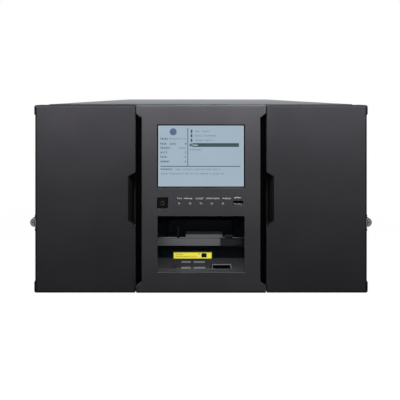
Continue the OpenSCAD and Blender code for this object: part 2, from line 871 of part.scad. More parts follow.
module front_lift_shaft() {
    shoulder = beam_half + 1;
    from_front() translate([0, front_axis_y, axis_z]) color(rod_steel) {
        bar_x(shaft_r, [-shoulder, shoulder], 0, 0);
        both_sides() {
            hex_end([shoulder - eps, gear_x[1] + 0.6]);
            pinion(gear_x);
            bar_x(shaft_r + 2, [rail_x[0] - 1.5, rail_x[0] + 1.5], 0, 0);
        }
    }
}

module rear_pinion(side) {
    shoulder = beam_half + 1;
    from_front() translate([0, rear_axis_y, axis_z]) on_side(side) color(rod_steel) {
        bar_x(shaft_r, [lug_x[0] - 0.6, shoulder], 0, 0);
        hex_end([shoulder - eps, gear_x[1] + 0.6]);
        pinion(gear_x);
        bar_x(shaft_r + 2, [rail_x[0] - 1.5, rail_x[0] + 1.5], 0, 0);
    }
}

module end_plate(x, y, axis_y) {
    difference() {
        block(x, y, [frame_low, axis_z + end_rise]);
        bar_x(shaft_r + bore_play, grown(x, eps), axis_y, axis_z);
    }
}

module rod_clamp(y) {
    difference() {
        block([rod_x - 6, rod_x + 6], y, [frame_low, home_z - 0.6]);
        bar_y(rod_r + rod_play, rod_x, grown(y, eps), rod_z);
    }
}

module front_crossbeam() {
    from_front() color(robot_grey) {
        block([-beam_half, beam_half], [front_beam_y[0], front_beam_y[0] + beam_t], beam_z);
        block([-beam_half, beam_half], front_beam_y, [beam_z[0], beam_z[0] + beam_t]);
        both_sides() {
            end_plate([beam_half - end_t, beam_half], [front_beam_y[0], front_end_y], front_axis_y);
            rod_clamp([front_beam_y[1] - 1, front_end_y]);
        }
    }
}

module rear_crossbeam() {
    from_front() color(robot_grey) {
        difference() {
            block([-beam_half, beam_half], rear_beam_y, [frame_low, frame_low + beam_t]);
            both_sides() bar_y(rod_r + rod_play, rod_x, grown(rear_beam_y, eps), rod_z);
        }
        block([-beam_half, beam_half], [rear_beam_y[1] - beam_t, rear_beam_y[1]], rail_z);
        both_sides() {
            end_plate([beam_half - end_t, beam_half], rear_beam_y, rear_axis_y);
            end_plate(lug_x, rear_beam_y, rear_axis_y);
            rod_clamp([rear_beam_y[0], rear_beam_y[0] + clamp_l]);
        }
    }
}

module side_rails() {
    from_front() color(robot_grey) both_sides()
        block(rail_x, [front_end_y, rear_beam_y[0]], rail_z);
}

module guide_rods() {
    from_front() color(rod_steel) both_sides()
        bar_y(rod_r, rod_x, [front_end_y - clamp_l + 2, rear_beam_y[0] + clamp_l - 2], rod_z);
}

module lift_motor() {
    z = [beam_z[0] + beam_t, axis_z + end_rise + 0.3];
    y = [front_beam_y[0] + beam_t, front_axis_y + 8];
    from_front() color(zinc_grey) {
        difference() {
            block(motor_x, y, z);
            bar_x(shaft_r + bore_play, grown(motor_x, eps), front_axis_y, axis_z);
        }
        bar_z(1.5, home_pin_x, front_beam_y[0] + 3.2, [beam_z[0] + beam_t, home_z + 24]);
    }
}

// The bearings of the front shaft, and the cover of the cables on the front of its beam
module shaft_bearings() {
    from_front() color(black_plastic) {
        for (x = bearing_xs)
            difference() {
                block(grown([x, x], bearing_half), [front_beam_y[0] + beam_t, front_beam_y[1]],
                      [beam_z[0] + beam_t, axis_z + end_rise]);
                bar_x(shaft_r + bore_play, grown([x, x], bearing_half + eps), front_axis_y, axis_z);
            }
        extrude_x(cable_cover_x) polygon([
            [front_beam_y[0], beam_z[0] - 1], [front_beam_y[0] - 1.2, beam_z[0] - 1],
            [front_beam_y[0] - 2.6, beam_z[0] + 1], [front_beam_y[0] - 2.6, beam_z[1] - 1],
            [front_beam_y[0] - 1.2, beam_z[1] + 1], [front_beam_y[0], beam_z[1] + 1]
        ]);
    }
}

module bushing(y) {
    difference() {
        block(bushing_x, y, [frame_low, home_z - 0.6]);
        bar_y(rod_r + bore_play, rod_x, grown(y, eps), rod_z);
    }
}

module carriage() {
    half = carriage_half_l;
    from_front() translate([0, carriage_y, 0]) color(robot_grey) {
        difference() {
            block([-bushing_x[0] - 1, bushing_x[0] + 1], [-half, half], plate_z);
            bar_z(spigot_r + bore_play, 0, 0, grown(plate_z, eps));
        }
        both_sides() {
            bushing([-half, -half + bushing_l]);
            bushing([half - bushing_l, half]);
        }
    }
}

module turntable() {
    half_l = pocket_l / 2;
    c = pocket_corner;
    from_front() translate([0, carriage_y, 0]) color(black_plastic) {
        bar_z(table_r, 0, 0, table_z);
        bar_z(spigot_r, 0, 0, [plate_z[0] - 0.4, table_z[1]]);
        extrude_z(pocket_floor_z) polygon([
            [-pocket_out, c - half_l], [c - pocket_out, -half_l], [pocket_out - c, -half_l],
            [pocket_out, c - half_l], [pocket_out, half_l - c], [pocket_out - c, half_l],
            [c - pocket_out, half_l], [-pocket_out, half_l - c]
        ]);
        both_sides()
            block([pocket_in, pocket_out], [c - half_l, half_l - c],
                  [pocket_floor_z[0], pocket_top_z]);
        block([c - pocket_out, pocket_out - c], [-half_l, -half_l + pocket_back],
              [pocket_floor_z[0], pocket_top_z]);
        block([pocket_out, pocket_out + 6], [-20, 0], [home_z + 3, home_z + 18]);
    }
}

module gripper() {
    from_front() translate([0, carriage_y, 0]) color(robot_grey) difference() {
        block([-gripper_w / 2, gripper_w / 2], gripper_y, gripper_z);
        block([-finger_x[1] - 2, finger_x[1] + 2], [gripper_y[1] - tenon_l, gripper_y[1] + eps], tenon_z);
    }
}

module finger(side) {
    from_front() translate([0, carriage_y, 0]) on_side(side) color(zinc_grey) {
        block(finger_x, [gripper_y[1] + clear, gripper_y[1] + finger_l], finger_z);
        block([finger_x[0], finger_x[1]], [gripper_y[1] - tenon_l + clear, gripper_y[1] + 1],
              grown(tenon_z, -clear));
        block([finger_x[0] - 2.5, finger_x[1]], [gripper_y[1] + finger_l - 3, gripper_y[1] + finger_l],
              finger_z);
    }
}

module floor_bracket() {
    x = [-41.7, 17.9];
    y = [60, 61.5];
    face_z = [26.7, 38.3];
    leg_w = 4;
    from_front() color(label_yellow) {
        block(x, y, face_z);
        for (leg = [[x[0], x[0] + leg_w], [x[1] - leg_w, x[1]]]) {
            block(leg, y, [sheet, face_z[0] + eps]);
            block(leg, [y[0], y[0] + 5], [sheet, 2 * sheet]);
        }
    }
}

// ---- Back -------------------------------------------------------------------------------

function bay_z(bay) = cage_z0 + bay * bay_pitch;

module drive_cage() {
    shelf_l = 170;
    from_front() color(steel_grey) {
        both_sides() {
            block([cage_half - sheet, cage_half], [cage_front_y, rear_y], [sheet, lid_z]);
            for (bay = [0:drive_bays - 1])
                block([drive_half - 4, cage_half], [cage_front_y, rear_y],
                      [bay_z(bay) - ledge_t, bay_z(bay)]);
        }
        for (z = concat(psu_z, [controller_z[0]]))
            block([-pan_inner, -cage_half], [rear_y - shelf_l, rear_y], [z - 1.5, z - clear]);
    }
}

module captive_screw(x, z) {
    bar_y(screw_head[0], x, [plate_y[1] - eps, plate_y[1] + screw_head[1]], z);
}

// Upright slots through a rear plate
module plate_slots(x, z, pitch) {
    for (i = [0:floor((x[1] - x[0]) / pitch)])
        block([x[0] + i * pitch, x[0] + (i + 0.5) * pitch], grown(plate_y, eps), z);
}

module d_handle(x, z) {
    for (leg = [x[0] + grip_r, x[1] - grip_r])
        bar_y(grip_r, leg, [plate_y[1] - eps, grip_y], z);
    bar_x(grip_r, x, grip_y, z);
}

module tape_drive(bay) {
    z = bay_z(bay) + clear;
    top = bay_z(bay + 1) - ledge_t - clear;
    port_z = [z + 8, z + 8 + port_h];
    from_front() color(zinc_grey) {
        difference() {
            block([-drive_half, drive_half], [drive_y, drive_y + drive_l], [z, top]);
            block([-slot_w / 2, slot_w / 2], [drive_y - eps, drive_y + slot_l],
                  [z + slot_lift, z + slot_lift + slot_h]);
        }
        block([-drive_half, drive_half], [drive_y + drive_l - eps, plate_y[0]], [z, z + 1.5]);
        difference() {
            union() {
                block([-bay_plate_half, bay_plate_half], plate_y, [z, bay_z(bay + 1) - clear]);
                block(grown(port_x, 1.2), [case_d - port_l - 1, plate_y[1] + 1], grown(port_z, 1.2));
            }
            block(port_x, [case_d - port_l, plate_y[1] + 2], port_z);
            plate_slots([-32, 10], [z + 8, z + 32], 6);
        }
        for (x = [-bay_plate_half + 6, bay_plate_half - 6]) captive_screw(x, z + 33);
        d_handle([18, 68], z + 20);
    }
}

module drive_blanks() {
    from_front() color(steel_grey)
        for (bay = [drives:drive_bays - 1]) {
            block([-bay_plate_half, bay_plate_half], plate_y,
                  [bay_z(bay) + clear, bay_z(bay + 1) - clear]);
            for (x = [-bay_plate_half + 6, bay_plate_half - 6])
                captive_screw(x, (bay_z(bay) + bay_z(bay + 1)) / 2);
        }
}

function z_range(z, range) = [z + range[0], z + range[1]];

// The cavity of a mains inlet, with two corners cut off
module inlet_outline() {
    c = 4;
    polygon([
        [inlet_x[0], inlet_z[0]], [inlet_x[1], inlet_z[0]], [inlet_x[1], inlet_z[1] - c],
        [inlet_x[1] - c, inlet_z[1]], [inlet_x[0] + c, inlet_z[1]], [inlet_x[0], inlet_z[1] - c]
    ]);
}

module power_supply(z) {
    inlet_mid = (inlet_x[0] + inlet_x[1]) / 2;
    inlet_mid_z = (inlet_z[0] + inlet_z[1]) / 2;
    fan_z = z + supply_h / 2;
    fan_x = psu_x - 22;
    ears = grown(latch_x, clear);
    plate = [[psu_x - psu_half - 3, psu_x + psu_half + 3], [z - 2.5, z + supply_h + 2.5]];
    from_front() color(zinc_grey) {
        difference() {
            union() {
                block([psu_x - psu_half, psu_x + psu_half], [psu_y, case_d], [z, z + supply_h]);
                block(plate[0], plate_y, plate[1]);
            }
            bar_y(fan_r + 1.5, fan_x, [case_d - fan_depth, plate_y[1] + eps], fan_z);
            extrude_y([case_d - inlet_l, plate_y[1] + eps]) translate([0, z]) inlet_outline();
        }
        for (x = [-1, 0, 1])
            block(grown([inlet_mid, inlet_mid] + [x, x] * blade_spacing, 1),
                  [case_d - inlet_l - 1, case_d - inlet_l + blade_l],
                  grown([z + inlet_mid_z, z + inlet_mid_z] + [1, 1] * (x == 0 ? 2 : -2), 2));
        bar_y(2.5, fan_x, [case_d - fan_depth - 1, case_d - 3], fan_z);
        for (r = [8, 15, 22])
            translate([fan_x, plate_y[0], fan_z]) rotate([-90, 0, 0]) difference() {
                cylinder(r = r + 0.8, h = 1.5, $fn = 48);
                translate([0, 0, -1]) cylinder(r = r - 0.8, h = 4, $fn = 48);
            }
        for (a = [45, 135])
            translate([fan_x, plate_y[0], fan_z]) rotate([0, a, 0])
                block([-fan_r - 2, fan_r + 2], [0, 1.5], [-0.8, 0.8]);
        d_handle([psu_x + 12, psu_x + 50], z + 12);
        for (x = [[ears[0] - 2, ears[0]], [ears[1], ears[1] + 2]])
            block(x, [plate_y[0], plate_y[1] + latch_out + latch_r],
                  [z + latch_z[0] - latch_r, z + latch_z[0] + latch_r]);
        bar_x(pin_r, grown(ears, 1), plate_y[1] + latch_out, z + latch_z[0]);
    }
}

module fan_rotor(z) {
    hub_r = 9;
    length = 12;
    from_front() translate([psu_x - 22, case_d - fan_depth + 1.5, z + supply_h / 2])
        rotate([-90, 0, 0]) color(black_plastic) difference() {
            union() {
                cylinder(r = hub_r, h = length, $fn = 48);
                for (i = [0:fan_blades - 1])
                    rotate(i * 360 / fan_blades)
                        translate([0, 0, length / 2]) rotate([35, 0, 0])
                            block([hub_r - 1, fan_r - 1.5], [-0.6, 0.6], [-6, 6]);
            }
            translate([0, 0, -1]) cylinder(r = 2.9, h = length + 2, $fn = 48);
        }
}

module psu_latch(z) {
    pivot_y = plate_y[1] + latch_out;
    from_front() color("#6d3a2c") difference() {
        union() {
            bar_x(latch_r, latch_x, pivot_y, z + latch_z[0]);
            block(latch_x, [pivot_y - 1.2, pivot_y + 1.2], z_range(z, latch_z));
            block(latch_x, [pivot_y, pivot_y + 8], [z + latch_z[1] - 2.5, z + latch_z[1]]);
        }
        bar_x(pin_r + 0.1, grown(latch_x, eps), pivot_y, z + latch_z[0]);
    }
}

module library_controller() {
    x = [psu_x - controller_half, psu_x + controller_half];
    from_front() color(zinc_grey) {
        block(x, [case_d - controller_l, case_d], [controller_z[0], controller_z[0] + 1.5]);
        difference() {
            block(grown(x, 3), plate_y, grown(controller_z, 2));
            for (jack = jack_xs)
                block([jack, jack + jack_w], grown(plate_y, eps), jack_z);
            plate_slots([psu_x + 12, psu_x + 48], grown(jack_z, 12), 6);
        }
        for (sx = [x[0] + 4, x[1] - 4]) captive_screw(sx, controller_z[0] + 12);
        block(grown(x, -6), [case_d - controller_l + 10, case_d - 22],
              [controller_z[0] + 8, controller_z[0] + 9.6]);
        for (bx = [x[0] + 12, x[1] - 12], by = [case_d - controller_l + 20, case_d - 30])
            bar_z(3, bx, by, [controller_z[0] + 1.5, controller_z[0] + 8]);
    }
}

module network_jacks() {
    from_front() color(zinc_grey)
        for (x = jack_xs)
            difference() {
                block([x, x + jack_w], [case_d - 14, plate_y[1] + 1.5], jack_z);
                block([x + 2, x + jack_w - 2], [case_d - 8, case_d + 4],
                      [jack_z[0] + 2, jack_z[1] - 3]);
            }
}

module thumbscrew(side) {
    shank_end = ear_y[1] + thumb_reach;
    from_front() on_side(side) color(zinc_grey) {
        bar_y(knob_r, thumb_x, knob_y, thumb_z);
        bar_y(thumb_r + 1.2, thumb_x, [knob_y[1] - eps, ear_y[0] - clear], thumb_z);
        bar_y(collar_r, thumb_x, [ear_y[0] - clear - 1.4, ear_y[0] - clear], thumb_z);
        bar_y(thumb_r, thumb_x, [ear_y[0] - clear - eps, shank_end], thumb_z);
        bar_y(collar_r - 0.5, thumb_x, [ear_y[1] + clear, ear_y[1] + clear + 1.2], thumb_z);
    }
}

// ---- Nodes ------------------------------------------------------------------------------

base_pan();
top_cover();
rear_panel();
front_frame();
rack_ear(left);  // left_rack_ear
rack_ear(right);  // right_rack_ear
front_bezel();
vent_grilles();
display_panel();
control_board();
status_lights();
usb_port();
viewing_window();
magazine_guides();
lift_racks();
drive_cage();
library_controller();
network_jacks();
floor_bracket();
case_screws();
drive_blanks();
tape_drive(0);  // tape_drive_1
tape_drive(1);  // tape_drive_2
tape_drive(2);  // tape_drive_3
power_supply(psu_z[0]);  // lower_power_supply
power_supply(psu_z[1]);  // upper_power_supply
fan_rotor(psu_z[0]);  // lower_psu_fan
fan_rotor(psu_z[1]);  // upper_psu_fan
psu_latch(psu_z[0]);  // lower_psu_latch
psu_latch(psu_z[1]);  // upper_psu_latch
power_button();
thumbscrew(left);  // left_thumbscrew
thumbscrew(right);  // right_thumbscrew
door(left);  // left_door
door(right);  // right_door
magazine_tray(left);  // left_magazine_tray
magazine_tray(right);  // right_magazine_tray
magazine_top(left);  // left_magazine_top
magazine_top(right);  // right_magazine_top
dividers(left);  // left_dividers
dividers(right);  // right_dividers
shelves(left);  // left_shelves
shelves(right);  // right_shelves
cartridges(left);  // left_cartridges
cartridges(right);  // right_cartridges
front_crossbeam();
rear_crossbeam();
side_rails();
guide_rods();
lift_motor();
shaft_bearings();
front_lift_shaft();
rear_pinion(left);  // rear_left_pinion
rear_pinion(right);  // rear_right_pinion
carriage();
turntable();
gripper();
finger(left);  // left_finger
finger(right);  // right_finger
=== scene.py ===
"""Finishes a rack-mounted tape library: its mouldings, display, robot, cartridges and back."""

import json
import math

import bmesh
import bpy
from bpy.props import FloatProperty, FloatVectorProperty, PointerProperty
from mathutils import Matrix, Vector

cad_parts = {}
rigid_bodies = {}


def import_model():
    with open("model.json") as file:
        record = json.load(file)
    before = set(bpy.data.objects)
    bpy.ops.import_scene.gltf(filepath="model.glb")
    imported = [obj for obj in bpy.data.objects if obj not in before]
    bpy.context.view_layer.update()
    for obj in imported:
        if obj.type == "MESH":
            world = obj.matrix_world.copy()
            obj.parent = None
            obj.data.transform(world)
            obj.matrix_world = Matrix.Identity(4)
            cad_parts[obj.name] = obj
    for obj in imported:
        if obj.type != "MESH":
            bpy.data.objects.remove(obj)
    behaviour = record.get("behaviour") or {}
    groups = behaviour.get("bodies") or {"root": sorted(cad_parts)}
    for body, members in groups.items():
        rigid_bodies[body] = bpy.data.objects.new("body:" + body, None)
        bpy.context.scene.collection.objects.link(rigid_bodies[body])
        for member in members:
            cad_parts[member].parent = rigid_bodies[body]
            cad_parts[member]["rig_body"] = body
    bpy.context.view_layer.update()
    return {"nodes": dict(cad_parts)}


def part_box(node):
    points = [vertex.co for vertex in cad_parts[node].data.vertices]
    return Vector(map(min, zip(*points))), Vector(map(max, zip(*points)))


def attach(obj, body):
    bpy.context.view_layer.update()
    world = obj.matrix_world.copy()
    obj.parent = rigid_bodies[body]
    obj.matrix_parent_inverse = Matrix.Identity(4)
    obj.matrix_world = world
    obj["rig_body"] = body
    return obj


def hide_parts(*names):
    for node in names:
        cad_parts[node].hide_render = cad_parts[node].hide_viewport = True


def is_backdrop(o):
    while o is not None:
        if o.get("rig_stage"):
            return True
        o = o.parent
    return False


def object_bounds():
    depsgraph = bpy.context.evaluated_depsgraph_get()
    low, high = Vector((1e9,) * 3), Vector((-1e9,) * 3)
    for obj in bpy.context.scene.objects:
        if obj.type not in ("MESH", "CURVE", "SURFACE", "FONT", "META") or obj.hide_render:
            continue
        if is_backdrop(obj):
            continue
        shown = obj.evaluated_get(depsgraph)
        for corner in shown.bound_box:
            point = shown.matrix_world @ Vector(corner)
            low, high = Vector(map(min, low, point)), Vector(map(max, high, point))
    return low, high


bl_info = {
    "name": "Tape Library Finish",
    "version": (1, 0, 0),
    "blender": (4, 5, 0),
    "location": "View3D > Sidebar > Tape Library",
    "description": "Models and finishes the visible pieces of a rack-mounted tape library",
    "category": "Object",
}

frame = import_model()

MM = 0.001


# ---- Colours and shader nodes -----------------------------------------------------------


def linear(hex_colour):
    """Turns an sRGB hex colour into the linear colour that shaders take."""
    channels = [int(hex_colour[i : i + 2], 16) / 255 for i in (1, 3, 5)]
    curve = [c / 12.92 if c <= 0.04045 else ((c + 0.055) / 1.055) ** 2.4 for c in channels]
    return (*curve, 1)


def shaded(colour, factor):
    """An sRGB hex colour as a linear colour, made darker or lighter by a factor."""
    return (*(c * factor for c in linear(colour)[:3]), 1)


def add_node(tree, kind, settings=None, inputs=None):
    """Adds a shader node, sets its settings, and sets or links its inputs."""
    node = tree.nodes.new(kind)
    for name, value in (settings or {}).items():
        setattr(node, name, value)
    for name, value in (inputs or {}).items():
        if isinstance(value, bpy.types.NodeSocket):
            tree.links.new(value, node.inputs[name])
        else:
            node.inputs[name].default_value = value
    return node


def new_material(name, inputs):
    """A material with one Principled shader; returns it with its tree and the shader."""
    material = bpy.data.materials.new(name)
    material.use_nodes = True
    tree = material.node_tree
    tree.nodes.clear()
    shader = add_node(tree, "ShaderNodeBsdfPrincipled", inputs=inputs)
    add_node(tree, "ShaderNodeOutputMaterial", inputs={"Surface": shader.outputs["BSDF"]})
    return material, tree, shader


def noise(tree, size, detail=2.0, stretch=(1, 1, 1)):
    """Noise whose features are about one size across, in metres, on Object coordinates."""
    place = add_node(tree, "ShaderNodeTexCoord")
    mapping = add_node(
        tree,
        "ShaderNodeMapping",
        inputs={"Vector": place.outputs["Object"], "Scale": [s / size for s in stretch]},
    )
    return add_node(
        tree,
        "ShaderNodeTexNoise",
        inputs={"Vector": mapping.outputs["Vector"], "Scale": 1.0, "Detail": detail},
    ).outputs["Fac"]


def ramp(tree, source, low, high, low_at=0.35, high_at=0.65):
    """Maps a pattern onto two colours."""
    node = add_node(tree, "ShaderNodeValToRGB", inputs={"Fac": source})
    node.color_ramp.elements[0].position = low_at
    node.color_ramp.elements[0].color = low
    node.color_ramp.elements[1].position = high_at
    node.color_ramp.elements[1].color = high
    return node.outputs["Color"]


def paint(tree, shader, source, low, high, low_at=0.35, high_at=0.65):
    """Colours a shader by a pattern that is mapped onto two colours."""
    tint = ramp(tree, source, low, high, low_at, high_at)
    tree.links.new(tint, shader.inputs["Base Color"])
    return tint


def spread(tree, source, low, high):
    """Maps a pattern onto a range of values."""
    return add_node(
        tree,
        "ShaderNodeMapRange",
        inputs={"Value": source, "From Min": 0.3, "From Max": 0.7, "To Min": low, "To Max": high},
    ).outputs["Result"]


def bump(tree, source, height, strength):
    """Bump of a real height, in metres."""
    return add_node(
        tree,
        "ShaderNodeBump",
        inputs={"Height": source, "Distance": height, "Strength": strength},
    ).outputs["Normal"]


# ---- Materials --------------------------------------------------------------------------


def textured_abs(name, colour, grain=0.7 * MM, level=0.03):
    """Injection-moulded ABS with a spark-eroded texture: matt, with a fine even grain.

    The real grain is about 0.2 mm and too fine to show, so it is drawn near 0.7 mm.
    """
    material, tree, shader = new_material(
        name, {"Roughness": 0.5, "Specular IOR Level": level, "IOR": 1.5}
    )
    cloud = noise(tree, 60 * MM)
    paint(tree, shader, cloud, linear(colour), shaded(colour, 1.12))
    tree.links.new(spread(tree, noise(tree, grain), 0.46, 0.62), shader.inputs["Roughness"])
    tree.links.new(bump(tree, noise(tree, grain), 0.03 * MM, 0.5), shader.inputs["Normal"])
    return material


def smooth_plastic(name, colour, roughness=0.32, level=0.15):
    """Moulded polycarbonate with a smooth satin face, faintly uneven where it cooled."""
    material, tree, shader = new_material(
        name, {"Roughness": roughness, "Specular IOR Level": level, "IOR": 1.55}
    )
    cloud = noise(tree, 25 * MM)
    paint(tree, shader, cloud, linear(colour), shaded(colour, 1.15))
    tree.links.new(bump(tree, noise(tree, 4 * MM), 0.02 * MM, 0.3), shader.inputs["Normal"])
    return material


def powder_coat(name, colour, level=0.03):
    """Powder-coated steel sheet: a fine orange peel over an even colour, lightly soiled."""
    material, tree, shader = new_material(
        name, {"Roughness": 0.6, "Specular IOR Level": level, "IOR": 1.5}
    )
    soiled = shaded(colour, 0.93)
    paint(tree, shader, noise(tree, 150 * MM, 4), soiled, linear(colour), 0.3, 0.6)
    tree.links.new(bump(tree, noise(tree, 1.6 * MM), 0.03 * MM, 0.35), shader.inputs["Normal"])
    return material


def plated_sheet(name, colour):
    """Zinc-plated steel sheet: a grey metal with soft spangle and rolling lines."""
    material, tree, shader = new_material(name, {"Metallic": 1.0, "Roughness": 0.4})
    dull = shaded(colour, 0.93)
    paint(tree, shader, noise(tree, 14 * MM, 3), dull, linear(colour), 0.25, 0.75)
    rolled = noise(tree, 1.2 * MM, 2, (1, 0.04, 1))
    tree.links.new(spread(tree, rolled, 0.44, 0.6), shader.inputs["Roughness"])
    tree.links.new(bump(tree, rolled, 0.01 * MM, 0.4), shader.inputs["Normal"])
    return material


def brushed_aluminium(name, colour):
    """Brushed and anodised aluminium: pale, with fine lines that run along X."""
    material, tree, shader = new_material(name, {"Metallic": 1.0, "Roughness": 0.42})
    lines = noise(tree, 0.6 * MM, 2, (0.03, 1, 1))
    paint(tree, shader, lines, shaded(colour, 0.86), linear(colour))
    tree.links.new(spread(tree, lines, 0.36, 0.5), shader.inputs["Roughness"])
    tree.links.new(bump(tree, lines, 0.01 * MM, 0.3), shader.inputs["Normal"])
    return material


def ground_steel(name, colour):
    """Ground and polished shaft steel: bright, with faint rings left by the grinding."""
    material, tree, shader = new_material(name, {"Metallic": 1.0, "Roughness": 0.25})
    rings = noise(tree, 0.5 * MM, 2, (1, 1, 1))
    paint(tree, shader, rings, shaded(colour, 0.9), linear(colour))
    tree.links.new(spread(tree, rings, 0.2, 0.32), shader.inputs["Roughness"])
    return material


def nickel_plate(name, colour):
    """Bright nickel plate on turned steel, slightly hazed by handling."""
    material, tree, shader = new_material(name, {"Metallic": 1.0, "Roughness": 0.2})
    haze = noise(tree, 3 * MM, 3)
    paint(tree, shader, haze, shaded(colour, 0.88), linear(colour))
    tree.links.new(spread(tree, haze, 0.16, 0.3), shader.inputs["Roughness"])
    return material


def printed_board(name, colour):
    """Circuit board under green solder mask, with a faint network of tracks."""
    material, tree, shader = new_material(name, {"Roughness": 0.35, "IOR": 1.5})
    tracks = noise(tree, 2.5 * MM, 1)
    paint(tree, shader, tracks, linear(colour), shaded(colour, 1.7), 0.5, 0.53)
    return material


def printed_ink(name, colour, roughness=0.5, glow=0.0):
    """Screen-printed ink, a printed label or a film: flat, and slightly uneven.

    With glow, the ink also glows in its own colour: painted light, on the yellow floor label and
    on the floor's highlight pads.
    """
    material, tree, shader = new_material(
        name,
        {
            "Roughness": roughness,
            "Specular IOR Level": 0.2,
            "IOR": 1.48,
            "Emission Strength": glow,
        },
    )
    film = noise(tree, 2 * MM, 2)
    tint = paint(tree, shader, film, shaded(colour, 0.93), linear(colour))
    if glow:
        tree.links.new(tint, shader.inputs["Emission Color"])
    return material


def lit_display(name, colour):
    """Liquid-crystal display behind its cover: it glows evenly in its own colour."""
    material, tree, shader = new_material(
        name,
        {
            "Base Color": linear("#050607"),
            "Roughness": 0.3,
            "Specular IOR Level": 0.05,
            "Emission Strength": 1.0,
        },
    )
    glow = ramp(tree, noise(tree, 40 * MM), shaded(colour, 0.97), linear(colour))
    tree.links.new(glow, shader.inputs["Emission Color"])
    return material


def clear_pane(name, colour):
    """Clear acrylic pane with a light tint: nearly all of the view passes through."""
    material, tree, shader = new_material(
        name,
        {
            "Base Color": linear(colour),
            "Roughness": 0.06,
            "Specular IOR Level": 0.0,
            "IOR": 1.49,
            "Alpha": 0.05,
        },
    )
    ripple = noise(tree, 45 * MM, 1)
    tree.links.new(spread(tree, ripple, 0.04, 0.09), shader.inputs["Roughness"])
    return material


def make_finishes():
    """Makes each finish once, by the name that pieces ask for."""
    return {
        "door": textured_abs("spark eroded ABS, charcoal", "#323134"),
        "bezel": textured_abs("spark eroded ABS, dark grey", "#403f42"),
        "black": smooth_plastic("satin polycarbonate, black", "#111113"),
        "deep_black": smooth_plastic("satin polycarbonate, deep black", "#060708", 0.3, 0.05),
        "dark": textured_abs("moulded ABS, black", "#0f0f10", 0.8 * MM, 0.05),
        # Painted shade for the doors' rims and sides
        "door_rim_shade": textured_abs("moulded ABS, bare black", "#131314", 0.7 * MM, 0.03),
        # Also painted shade, in the bezel's recesses and in the strips round the doors
        "foam": textured_abs("closed cell foam, black", "#0b0b0c", 0.5 * MM, 0.02),
        "grille": textured_abs("moulded ABS, grille black", "#080809", 0.5 * MM, 0.02),
        "cover": powder_coat("powder coat, light grey", "#8f9397", 0.0),
        "zinc": plated_sheet("zinc plated sheet", "#a6a9ac"),
        "floor_zinc": plated_sheet("zinc plated sheet, dull", "#8d9094"),
        "robot": powder_coat("powder coat, mid grey", "#5c5d60"),
        "rail": brushed_aluminium("brushed aluminium", "#9a9ca0"),
        "rod": ground_steel("ground steel", "#8e9195"),
        "screw": nickel_plate("nickel plate", "#8d8f92"),
        # Painted shade: a darker copy of the nickel plate, for the thumbscrews
        "thumb": nickel_plate("nickel plate, darkened as painted shade", "#747679"),
        # Painted shade: the USB shell's plated steel is made near black, as if unlit
        "shell": nickel_plate("nickel plate, painted shade black", "#17171a"),
        # Painted highlight: a pale glowing film on the floor's embosses and outline
        "highlight_film": printed_ink("film, painted highlight", "#c9ccd0", 0.4, 0.2),
        "floor_coat": powder_coat("powder coat, grey", "#8b8c8f"),
        "board": printed_board("circuit board, green", "#1f4a33"),
        "white_ink": printed_ink("screen printed ink, white", "#c4c5c8"),
        "black_ink": printed_ink("screen printed ink, black", "#1b1a18"),
        "dull_ink": printed_ink("screen printed ink, brown", "#8f861f"),
        # Painted light: the label is brightened and glows a little so that it looks lit
        "yellow": printed_ink("printed label, yellow, glowing as painted light", "#f6ec4a", 0.42, 0.7),
        "paper": printed_ink("paper label, white", "#e2e2de", 0.6),
        "red_ink": printed_ink("printed code, red", "#b5392f"),
        "blue_ink": printed_ink("printed code, blue", "#2f5f9e"),
        "green_ink": printed_ink("printed code, green", "#3e8a4c"),
        "cartridge": textured_abs("moulded ABS, cartridge grey", "#26282b", 0.9 * MM, 0.2),
        "latch": smooth_plastic("satin polycarbonate, brown", "#7a4a2e"),
        "olive": smooth_plastic("satin polycarbonate, olive", "#3c3e2b"),
        "light": smooth_plastic("frosted light pipe", "#77787b", 0.4),
        "screen": lit_display("display, pale blue", "#a2b4c2"),
        # Painted highlight for the display's edges
        "screen_edge_highlight": lit_display("display, edge highlight", "#b8c6cf"),
        "screen_bar": lit_display("display, slate", "#3f5358"),
        "screen_text": lit_display("display, ink", "#3f5264"),
        "screen_faint": lit_display("display, faint ink", "#6d8295"),
        "screen_line": lit_display("display, rule", "#3a5163"),
        "screen_icon": lit_display("display, blue", "#5a6b88"),
        "screen_light": lit_display("display, white", "#c9d4dc"),
        "pane": clear_pane("clear acrylic", "#20262b"),
    }


# ---- Modelling helpers ------------------------------------------------------------------


def activate(piece):
    """Makes one piece the only selected one."""
    bpy.ops.object.select_all(action="DESELECT")
    piece.select_set(True)
    bpy.context.view_layer.objects.active = piece


def settle(piece):
    """Puts a piece's place into its mesh, so that its object sits at the origin."""
    activate(piece)
    bpy.ops.object.transform_apply(location=True, rotation=True, scale=True)
    return piece


def apply_modifier(piece, kind, **settings):
    """Adds a modifier and applies it."""
    activate(piece)
    modifier = piece.modifiers.new(kind.title(), kind)
    for name, value in settings.items():
        setattr(modifier, name, value)
    bpy.ops.object.modifier_apply(modifier=modifier.name)
    return piece


def soften(piece, width, segments=2, angle=35):
    """Rounds a piece's sharp edges."""
    apply_modifier(
        piece,
        "BEVEL",
        width=width,
        segments=segments,
        limit_method="ANGLE",
        angle_limit=math.radians(angle),
        use_clamp_overlap=False,
    )
    activate(piece)
    bpy.ops.object.shade_smooth_by_angle(angle=math.radians(angle))
    return apply_modifier(piece, "WEIGHTED_NORMAL", keep_sharp=True)


def finish_piece(piece, name, finish, body):
    """Names a finished piece, gives it its material and the body that it rides on."""
    piece.name = name
    piece.data.name = name
    piece.data.materials.clear()
    piece.data.materials.append(finishes[finish])
    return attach(piece, body)


def block(low, high, rounding=0.0, segments=2):
    """A block between two corners, with rounded edges."""
    low, high = Vector(low), Vector(high)
    bpy.ops.mesh.primitive_cube_add(size=1, location=(low + high) / 2)
    piece = bpy.context.active_object
    piece.scale = high - low
    settle(piece)
    if rounding:
        soften(piece, rounding, segments)
    return piece


